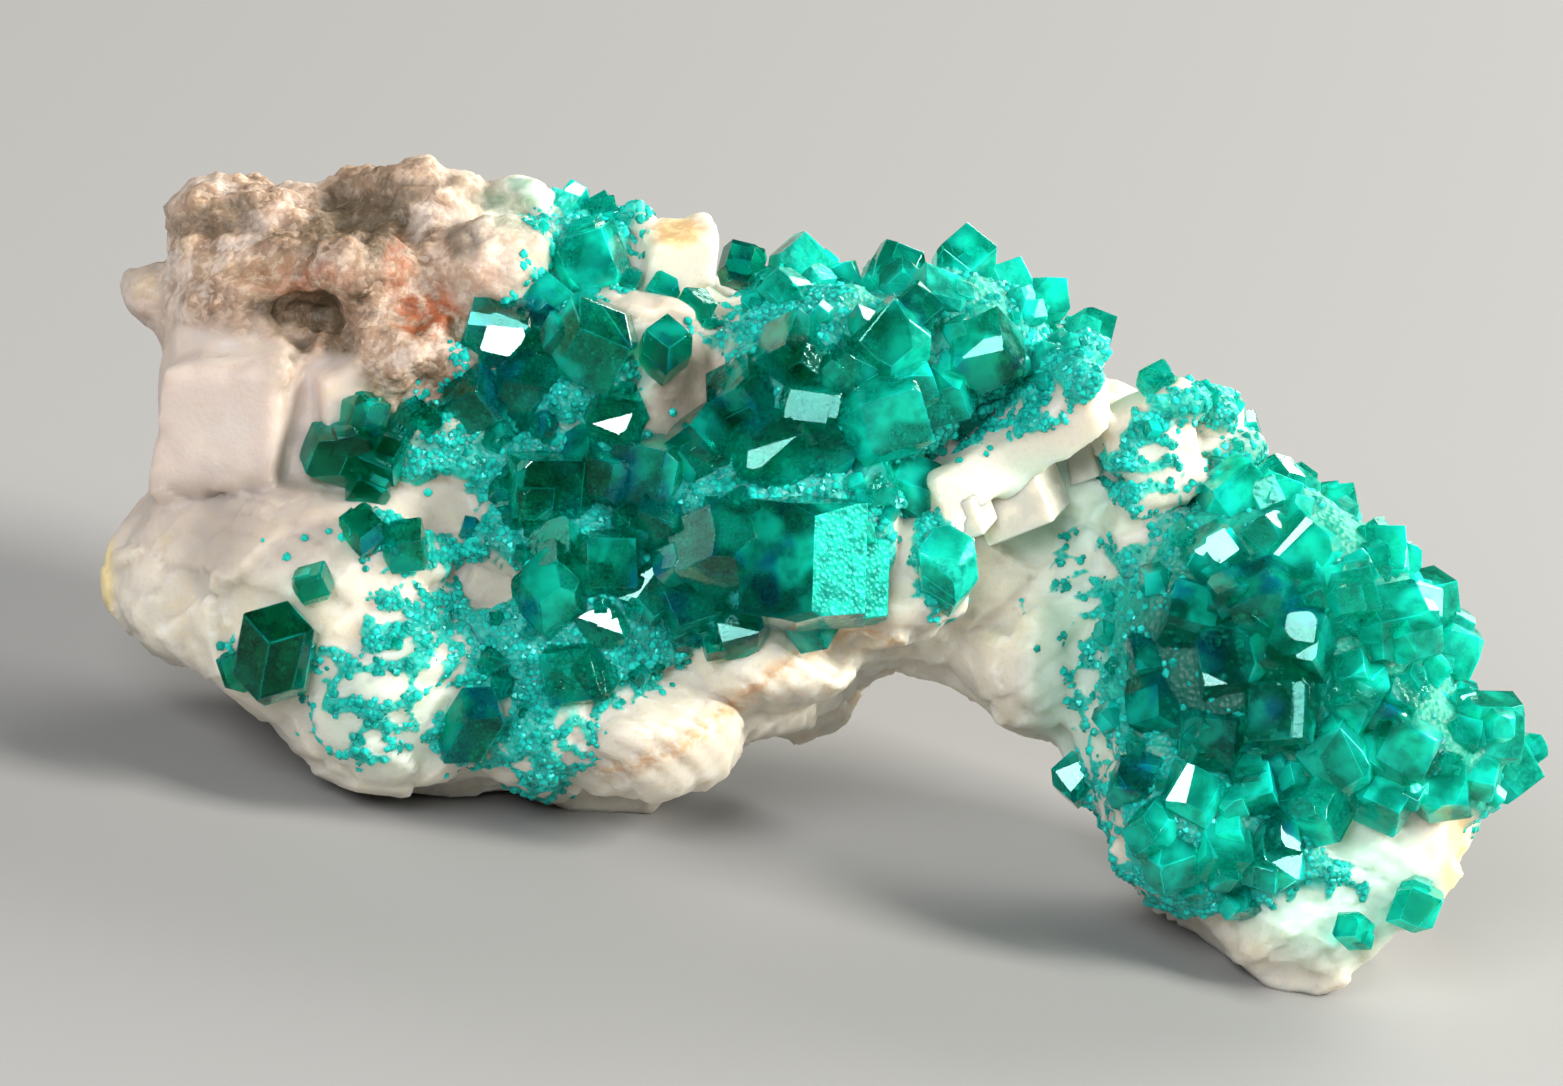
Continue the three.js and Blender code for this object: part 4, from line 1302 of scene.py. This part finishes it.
def grime_shade_and_rust_at(points):
    """How dark, with grime and painted shade, and how rusty the rock is at each point, from 0 to 1: on
    the front only.
    """
    front = fall(points[:, 1], 4, 2)
    wander = 0.35 * noise_at(points, 0.7, 3.0) + 0.7 * noise_at(points, 2.0, 13.0)
    dark = ellipse_cover(points + wander[:, None], GRIME_AND_SHADE_ZONES) * front
    gap = distance_to_line(points + 0.4 * wander[:, None], STAIN_LINE)
    stain = fall(gap, 0.5, 0.5) * fall(points[:, 1], 2.5, 2)
    return dark, np.maximum(ellipse_cover(points, RUST_ZONES), 0.9 * stain) * front


def lumps_at(points):
    """Lumps and hollows of the host rock, from about -1 to 1."""
    lumps = 0.6 * bulges_at(points, 1.9, 2.0) + 0.6 * bulges_at(points, 0.85, 6.0) - 0.7
    return lumps + 0.75 * billow_at(points, 1.0, 5)


def rolls_at(points, crust):
    """Soft rolls of the calcite and, where no crust covers it, shallow ledges, in millimetres."""
    rolls = 0.16 * billow_at(points, 3.2, 3, 7.0) + 0.035 * billow_at(points, 0.6, 3, 11.0)
    tilt = points @ np.array([0.42, 0.25, 0.87])
    terraces = tilt / 0.62 + 0.5 * noise_at(points, 3.0, 15.0)
    steps = (terraces % 1) ** 3
    ledges = np.clip(noise_at(points, 5.0, 30.0) * 2 - 0.3, 0, 1)
    ledges = np.maximum(ledges, np.clip(1.3 - distance_to_line(points, STAIN_LINE) / 1.6, 0, 1))
    return rolls - 0.16 * steps * ledges * (1 - 0.6 * crust)


def cleavage_at(points):
    """Cleavage steps of the calcite, large ones with small ones on them."""
    wavy = points + 0.12 * noise_at(points, 1.4, 50.0)[:, None]
    return cleavage_steps(wavy, 2.3) + 0.45 * cleavage_steps(wavy, 1.1)


class SPECIMEN_OT_matrix(bpy.types.Operator):
    """Build the calcite arch and its host rock"""

    bl_idname = "specimen.matrix"
    bl_label = "Matrix"

    def execute(self, context):
        settings = context.scene.specimen_matrix
        # The size of the mesh's faces is in metres, so the rock is remeshed in the row frame.
        rock = in_face_frame("calcite_matrix")
        bmesh.ops.transform(rock, matrix=FACE_TO_ROW, verts=rock.verts)
        mesh = remeshed(mesh_of(rock, "matrix base"), settings.grain)
        mesh.name = "matrix"
        mesh.transform(ROW_TO_FACE)
        points, edges = mesh_arrays(mesh)

        # The calcite blocks stay crisp, and the flats that it stands on stay where they are.
        blocks = blocks_tree()
        crisp = fall(np.array([blocks.find_nearest(p)[3] for p in points.tolist()]), 0.5, 0.3)
        floor = height_above_floor(points)
        held = 1 - rise(floor, 0.05, 0.5)
        points = evened(points, edges, 0.5 * (1 - 0.93 * crisp) * (1 - held), settings.rounding)
        normals = outward_normals(mesh, points)

        host = host_rock_at(points, crisp)
        dark, rust = grime_shade_and_rust_at(points)
        crust = grown_over(points) * (floor > 0.5)
        thick = rise(ground_cover(points), 0.45, 0.4)
        calm = 1 - 0.6 * blush_and_shade_at(points)
        rough = settings.roughness / MM * host * lumps_at(points) - 0.3 * dark * host
        swell = thick * (settings.ground / MM + 0.25 * billow_at(points, 1.2, 3, 41.0))
        blocky = settings.cleavage / MM * calm * cleavage_at(points) * (1 - thick) * (1 - crisp)
        move = rough + swell + 0.12 * crust + (1 - host) * blocky
        move = move + (1 - host) * (1 - 0.8 * crisp) * rolls_at(points, crust)
        points = points + normals * (move * (1 - held))[:, None]
        points = evened(points, edges, 0.35 * (1 - host) * (1 - held), 1)
        points = points - np.minimum(height_above_floor(points), 0)[:, None] * FLOOR_UP
        outward_normals(mesh, points)

        back = rise(points[:, 1], 3.5, 3)
        rust = np.maximum(rust, 0.55 * back * np.clip(noise_at(points, 3.4, 60.0) + 0.25, 0, 1))
        marks = {
            "host": host, "dark": dark, "rust": rust, "crust": crust, "blush": blush_and_shade_at(points),
            "green": np.maximum(crust, thick), "massed": massed_at(points),
            "tinge": (1 - back) * ellipse_cover(points, TINGE_ZONES),
            "amber": (1 - back) * ellipse_cover(points, AMBER_AND_RIM_GLOW_ZONES),
        }
        for name, values in marks.items():
            paint(mesh, name, values)
        mesh.transform(FACE_TO_ROW)
        mesh.shade_smooth()
        new_piece("matrix", mesh, matrix_finish(settings), ["calcite_matrix"])
        return {"FINISHED"}


class SPECIMEN_OT_rhombs(bpy.types.Operator):
    """Add the small cleavage rhombs that stand out of the calcite"""

    bl_idname = "specimen.rhombs"
    bl_label = "Calcite rhombs"

    def execute(self, context):
        mesh = dressed_rock()
        rock = bmesh.new()
        rock.from_mesh(mesh)
        bpy.data.meshes.remove(mesh)
        tree = tree_of(rock)
        whole = bmesh.new()
        for i, (x, z, size, *turns) in enumerate(CALCITE_RHOMBS):
            depth, _ = rock_surface(tree, x, z, -1)
            spread = [size * (0.8 + 0.5 * chance(i, j)) for j in (1, 2, 3)]
            block = calcite_block(x, depth + RHOMB_DEPTH * size, z, *spread, *turns)
            add_shape(whole, worn(block, RHOMB_WEAR))
        finish = rhomb_finish(context.scene.specimen_matrix)
        new_piece("calcite_rhombs", finished_mesh(whole, "calcite rhombs"), finish)
        return {"FINISHED"}


def placed_crystal(radius, stretch, place, seed, settings, slope=CAP_SLOPE):
    shape = crystal_shape(radius, radius * stretch, seed, settings.variety, slope)
    worn(shape, settings.edge * radius)
    bmesh.ops.transform(shape, matrix=place, verts=shape.verts)
    bmesh.ops.recalc_face_normals(shape, faces=shape.faces)
    return shape


def intergrown(radius, stretch, place, seed, settings, slope):
    """A crystal with the smaller ones that have grown on it in nearly the same direction."""
    shapes = [placed_crystal(radius, stretch, place, seed, settings, slope)]
    single = slope != CAP_SLOPE
    for j in range(0 if single else round(settings.offshoots * min(radius, BUSIEST_RADIUS))):
        near = seed + OFFSHOOT_SEED * (j + 1)
        turn = 2 * math.pi * chance(near, 1)
        out = radius * (0.42 + 0.3 * chance(near, 2))
        up = radius * stretch * (0.9 * chance(near, 3) - 0.25)
        shift = Matrix.Translation((out * math.cos(turn), out * math.sin(turn), up))
        tip = Matrix.Rotation(0.16 * (chance(near, 4) - 0.5), 4, "X")
        size = radius * (0.4 + 0.25 * chance(near, 5))
        shapes.append(placed_crystal(size, stretch, place @ shift @ tip, near, settings))
    return shapes


def mirrored(shapes, middle, share):
    """Cuts one plane across crystals that are grown together, so that its face mirrors the light."""
    heights = [[MIRROR_NORMAL.dot(v.co - middle) for v in shape.verts] for shape in shapes]
    level = share * max(heights[0])
    kept = []
    for shape, height in zip(shapes, heights):
        if min(height) >= level:
            shape.free()
            continue
        if max(height) > level:
            cut_off(shape, middle + MIRROR_NORMAL * level, MIRROR_NORMAL)
            bmesh.ops.recalc_face_normals(shape, faces=shape.faces)
        kept.append(shape)
    return kept


def inside_box(spot, reach):
    """Whether something of that reach at a spot of the face stays about inside the solids' box."""
    middle = FACE_TO_ROW @ spot
    (left, front, _), high = CAD_BOX
    low = (left - BOX_SLACK, front - BOX_SLACK, 0)
    return all(
        low[i] < middle[i] - reach and middle[i] + reach < high[i] + BOX_SLACK for i in range(3)
    )


def strewn_crystals(settings):
    """Places, radii and stretches of the smaller crystals that grow on the green ground."""
    mesh = dressed_rock()
    points, _ = mesh_arrays(mesh)
    normals = outward_normals(mesh, points)
    bpy.data.meshes.remove(mesh)
    massed = massed_at(points)
    likely = np.clip(ground_cover(points) - 0.5, 0, 1) ** 1.2
    dice = np.random.default_rng(STREWN_DICE)
    picked = dice.choice(len(points), settings.small, replace=False, p=likely / likely.sum())
    crystals = []
    for i in picked:
        mass = float(massed[i])
        small = 0.22 + 0.42 * dice.random() ** 2.2
        large = 0.4 + 0.5 * dice.random() ** 1.4
        radius = large if dice.random() < mass else small
        lean = Vector(normals[i]) + (0.9 - 0.3 * mass) * Vector(dice.random(3) - 0.5)
        angle = dice.random() * math.pi / 3
        spot = Vector(points[i]) + (0.15 - 0.35 * mass) * radius * Vector(normals[i])
        stretch = 1.15 + 0.4 * dice.random()
        if inside_box(spot, radius * stretch * MM):
            crystals.append((stood(spot, lean, angle), radius, stretch))
    return crystals


def seated_clusters(tree):
    """The crystals of each cluster, each with its place, its seed and the slope of its end faces."""
    clusters = {}
    for side, lists in ((-1, FRONT_CLUSTERS), (1, BACK_CLUSTERS)):
        for number, (name, crystals) in enumerate(lists.items()):
            clusters[name] = []
            for i, crystal in enumerate(crystals):
                crystal, turn, slope = FINE_CRYSTALS.get((name, i), (crystal, 0, CAP_SLOPE))
                seed = number * CLUSTER_SEED + i
                place = seat(tree, crystal, side, seed, math.radians(turn))
                clusters[name].append((crystal, place, seed, slope))
    return clusters


def nearest_cluster(clusters, spot, reach):
    """The name of the cluster that something of that reach at a spot touches, or None."""
    gaps = {
        name: min((spot - place.translation).length - crystal[2] for crystal, place, _, _ in seated)
        for name, seated in clusters.items()
    }
    name = min(gaps, key=gaps.get)
    return name if gaps[name] < reach + JOIN_WITHIN else None


class SPECIMEN_OT_crystals(bpy.types.Operator):
    """Grow the dioptase crystals of each cluster, with the smaller ones around them"""

    bl_idname = "specimen.crystals"
    bl_label = "Dioptase crystals"

    def execute(self, context):
        settings = context.scene.specimen_crystals
        bright = dioptase_finish(
            settings, "bright dioptase", settings.depth, edge=0.18, waves=0.05, haze=1.4, blue=0.25,
            blue_reflection=(0.004, 0.44, 0.52),
        )
        # The dark crystals' stronger absorption is partly painted shade.
        deep = dioptase_finish(
            settings, "deep dioptase", settings.deep, edge=0.09, waves=0.02, haze=0.9, blue=0.8,
            blue_reflection=(0.002, 0.2, 0.5),
        )
        clusters = seated_clusters(tree_of(in_face_frame("calcite_matrix")))
        shapes = {name: ([], []) for name in (*clusters, None)}
        for number, (place, radius, stretch) in enumerate(strewn_crystals(settings)):
            near = shapes[nearest_cluster(clusters, place.translation, radius)]
            shape = placed_crystal(radius, stretch, place, STREWN_SEED + number, settings)
            near[is_dark(place.translation)].append(shape)
        for name, seated in clusters.items():
            for i, ((_, _, radius, stretch, *_), place, seed, slope) in enumerate(seated):
                grown = intergrown(radius, stretch, place, seed, settings, slope)
                if (name, i) in MIRROR_FACES:
                    grown = mirrored(grown, place.translation, MIRROR_FACES[name, i][0])
                shapes[name][is_dark(place.translation)].extend(grown)
            nodes = cluster_nodes(name)
            for made, finish, kind in zip(shapes[name], (bright, deep), ("crystals", "dark_crystals")):
                if made:
                    add_crystals(f"{name}_{kind}", made, finish, nodes)
                    nodes = []
        add_crystals("scattered_crystals", shapes[None][0], bright, [])
        add_crystals("scattered_dark_crystals", shapes[None][1], deep, [])
        return {"FINISHED"}


def is_dark(spot):
    """1 for the places of the dark crystals, 0 elsewhere."""
    return int(ellipse_cover(np.array([spot]), DARK_CRYSTAL_ZONES)[0] > 0.5)


def mark_faces(mesh):
    """Marks the narrow faces along the edges, which the finishes make paler as painted highlight,
    gives each wide face a tone of its own, random by its direction, as painted light and shade, and
    marks the faces that the fine aqua frost covers."""
    middles = np.array([f.center for f in mesh.polygons])
    normals = np.array([f.normal for f in mesh.polygons])
    areas = np.array([f.area for f in mesh.polygons])
    rims = np.array([length_around(mesh, f) for f in mesh.polygons])
    edge = areas < NARROW_FACE * rims**2
    frost = np.zeros(len(middles))
    for *zone, least, most in FROST_ZONES:
        faces_it = (normals[:, 0] > least) & (normals[:, 2] < most) & (middles[:, 1] < 4)
        frost = np.maximum(frost, ellipse_cover(middles, [zone]) * faces_it)
    flash = (normals @ np.array(MIRROR_NORMAL) > MIRROR_WITHIN) & ~edge
    paint(mesh, "frost", frost, "FACE")
    paint(mesh, "edge", edge, "FACE")
    paint(mesh, "tone", scrambled(np.round(normals * FACE_LIGHT_STEPS)), "FACE")
    paint(mesh, "flash", flash * gloss_at(middles), "FACE")


def gloss_at(points):
    """How glossy a mirroring face at each point is: as the nearest of the listed crystals."""
    spots = np.array([FRONT_CLUSTERS[cluster][i][:2] for cluster, i in MIRROR_FACES])
    gaps = np.linalg.norm(points[:, None, [0, 2]] - spots, axis=2)
    return np.array([gloss for _, gloss in MIRROR_FACES.values()])[gaps.argmin(axis=1)]


def length_around(mesh, face):
    corners = [mesh.vertices[i].co for i in face.vertices]
    return sum((a - b).length for a, b in zip(corners, corners[1:] + corners[:1]))


def add_crystals(name, shapes, finish, nodes):
    mesh = fused(shapes, name)
    points, _ = mesh_arrays(mesh)
    paint(mesh, "glow", glow_at(points))
    mark_faces(mesh)
    mesh.transform(FACE_TO_ROW)
    new_piece(name, mesh, finish, nodes)


def crust_tree(finish):
    """Geometry Nodes that strew grains over a surface where its crust attribute says."""
    tree = bpy.data.node_groups.new("crust", "GeometryNodeTree")
    face = tree.interface
    given = {"Geometry": "Geometry", "Spacing": "Float", "Grain": "Float", "Seed": "Int"}
    for name, kind in given.items():
        face.new_socket(name, in_out="INPUT", socket_type="NodeSocket" + kind)
    face.new_socket("Geometry", in_out="OUTPUT", socket_type="NodeSocketGeometry")

    wiring = Wiring(tree)
    surface = wiring.node("NodeGroupInput")
    spacing, grain, seed = (surface.beside(name) for name in ("Spacing", "Grain", "Seed"))
    cover = wiring.node(
        "GeometryNodeInputNamedAttribute", {"data_type": "FLOAT"}, {"Name": "crust"}, "Attribute"
    )
    points = wiring.node(
        "GeometryNodeDistributePointsOnFaces", {"distribute_method": "POISSON"},
        {"Mesh": surface, "Distance Min": spacing, "Density Max": MOST_GRAINS,
         "Density Factor": cover, "Seed": seed},
        "Points",
    )
    size = wiring.node(
        "FunctionNodeRandomValue", {"data_type": "FLOAT"},
        {2: LEAST_GRAIN, 3: LARGEST_GRAIN, "Seed": 3}, 1,
    )
    turn = wiring.node(
        "FunctionNodeRandomValue", {"data_type": "FLOAT_VECTOR"},
        {0: (0, 0, 0), 1: (2 * math.pi,) * 3, "Seed": 5},
    )
    sunk = wiring.node(
        "ShaderNodeVectorMath", {"operation": "SCALE"},
        {0: points.beside("Normal"), "Scale": -GRAIN_SINK},
    )
    laid = wiring.node("GeometryNodeSetPosition", {}, {"Geometry": points, "Offset": sunk})
    ball = wiring.node("GeometryNodeMeshIcoSphere", {}, {"Radius": 1.0, "Subdivisions": 1})
    placed = wiring.node(
        "GeometryNodeInstanceOnPoints", {},
        {"Points": laid, "Instance": ball, "Rotation": turn, "Scale": size * grain},
    )
    real = wiring.node("GeometryNodeRealizeInstances", {}, {"Geometry": placed})
    dressed = wiring.node("GeometryNodeSetMaterial", {}, {"Geometry": real, "Material": finish})
    wiring.node("NodeGroupOutput", {}, {"Geometry": dressed})
    return tree


def strewn(surface, tree, inputs):
    """The result of a Geometry Nodes tree on a surface, as a plain mesh."""
    source = linked("strewn source", surface)
    modifier = source.modifiers.new("strewn", "NODES")
    modifier.node_group = tree
    for item in tree.interface.items_tree:
        if item.in_out == "INPUT" and item.name in inputs:
            modifier[item.identifier] = inputs[item.name]
    made = evaluated_mesh(source)
    bpy.data.objects.remove(source)
    return made


def stretch_of(mesh, low, high):
    """A copy of a mesh with only the faces whose middle has its x between low and high."""
    part = bmesh.new()
    part.from_mesh(mesh)
    out = [f for f in part.faces if not low <= f.calc_center_median().x < high]
    bmesh.ops.delete(part, geom=out, context="FACES")
    return mesh_of(part, "stretch")


class SPECIMEN_OT_crust(bpy.types.Operator):
    """Strew the turquoise crust of fine grains over the matrix"""

    bl_idname = "specimen.crust"
    bl_label = "Turquoise crust"

    def execute(self, context):
        settings = context.scene.specimen_crust
        finish = crust_finish(settings)
        tree = crust_tree(finish)
        matrix = bpy.data.objects["matrix"].data
        for number, (name, low, high) in enumerate(CRUST_STRETCHES):
            surface = stretch_of(matrix, low * MM, high * MM)
            inputs = {"Spacing": settings.spacing, "Grain": settings.grain, "Seed": number + 1}
            grains = strewn(surface, tree, inputs)
            grains.name = name
            new_piece(name, grains, finish)
        return {"FINISHED"}


def soft_light(name, location, size, power, colour):
    """A rectangular light that shines on the specimen."""
    light = bpy.data.lights.new(name, "AREA")
    light.shape = "RECTANGLE"
    light.size, light.size_y = size
    light.energy = power
    light.color = colour
    turn = (Vector(LIGHT_TARGET) - Vector(location)).to_track_quat("-Z", "Y")
    linked(name, light).matrix_world = at_place(location, turn)


class SPECIMEN_OT_stage(bpy.types.Operator):
    """Set up the camera, the floor and the soft lights"""

    bl_idname = "specimen.stage"
    bl_label = "Stage"

    def execute(self, context):
        settings = context.scene.specimen_stage
        scene = context.scene
        scene.view_settings.view_transform = "Standard"
        middle = [
            (PICTURE_SIZE[0] / 2 - PICTURE_ORIGIN[0]) / PICTURE_SCALE,
            LOOK_DEPTH,
            (PICTURE_ORIGIN[1] - PICTURE_SIZE[1] / 2) / PICTURE_SCALE,
        ]
        camera = bpy.data.cameras.new("camera")
        camera.sensor_width = 36
        camera.lens = settings.distance / MM * PICTURE_SCALE * camera.sensor_width / PICTURE_SIZE[0]
        camera.clip_start = 0.01
        camera.clip_end = 20
        scene.camera = linked("camera", camera)
        face_camera = Matrix.Translation(middle) @ Matrix.Rotation(math.pi / 2, 4, "X")
        face_camera = face_camera @ Matrix.Translation((0, 0, settings.distance / MM))
        location, turn, _ = (FACE_TO_ROW @ face_camera).decompose()
        scene.camera.matrix_world = at_place(location, turn)

        bpy.ops.mesh.primitive_plane_add(size=FLOOR_SIZE)
        floor = context.object
        floor.name = "floor"
        floor.data.materials.append(floor_finish(settings.floor))

        world = bpy.data.worlds.new("surroundings")
        world.use_nodes = True
        sky = world.node_tree.nodes["Background"]
        sky.inputs["Color"].default_value = (0.92, 0.96, 1.0, 1)
        sky.inputs["Strength"].default_value = settings.sky
        scene.world = world

        for name, (location, size, colour) in LIGHTS.items():
            soft_light(name, location, size, getattr(settings, name), colour)
        return {"FINISHED"}


class SPECIMEN_PT_panel(bpy.types.Panel):
    bl_label = "Specimen"
    bl_space_type = "VIEW_3D"
    bl_region_type = "UI"
    bl_category = "Specimen"

    def draw(self, context):
        for group, operator in STEPS:
            if group:
                settings = getattr(context.scene, group)
                for name in settings.__annotations__:
                    self.layout.prop(settings, name)
            self.layout.operator(operator)


STEPS = [
    ("specimen_stage", "specimen.stage"),
    ("specimen_matrix", "specimen.matrix"),
    (None, "specimen.rhombs"),
    ("specimen_crystals", "specimen.crystals"),
    ("specimen_crust", "specimen.crust"),
]
GROUPS = {
    "specimen_stage": StageSettings,
    "specimen_matrix": MatrixSettings,
    "specimen_crystals": CrystalSettings,
    "specimen_crust": CrustSettings,
}
CLASSES = [
    *GROUPS.values(),
    SPECIMEN_OT_stage,
    SPECIMEN_OT_matrix,
    SPECIMEN_OT_rhombs,
    SPECIMEN_OT_crystals,
    SPECIMEN_OT_crust,
    SPECIMEN_PT_panel,
]


def register():
    for cls in CLASSES:
        bpy.utils.register_class(cls)
    for name, group in GROUPS.items():
        setattr(bpy.types.Scene, name, PointerProperty(type=group))


def unregister():
    for name in GROUPS:
        delattr(bpy.types.Scene, name)
    for cls in reversed(CLASSES):
        bpy.utils.unregister_class(cls)


def main():
    register()
    for _, step in STEPS:
        group, name = step.split(".")
        getattr(getattr(bpy.ops, group), name)()


if __name__ == "__main__":
    main()
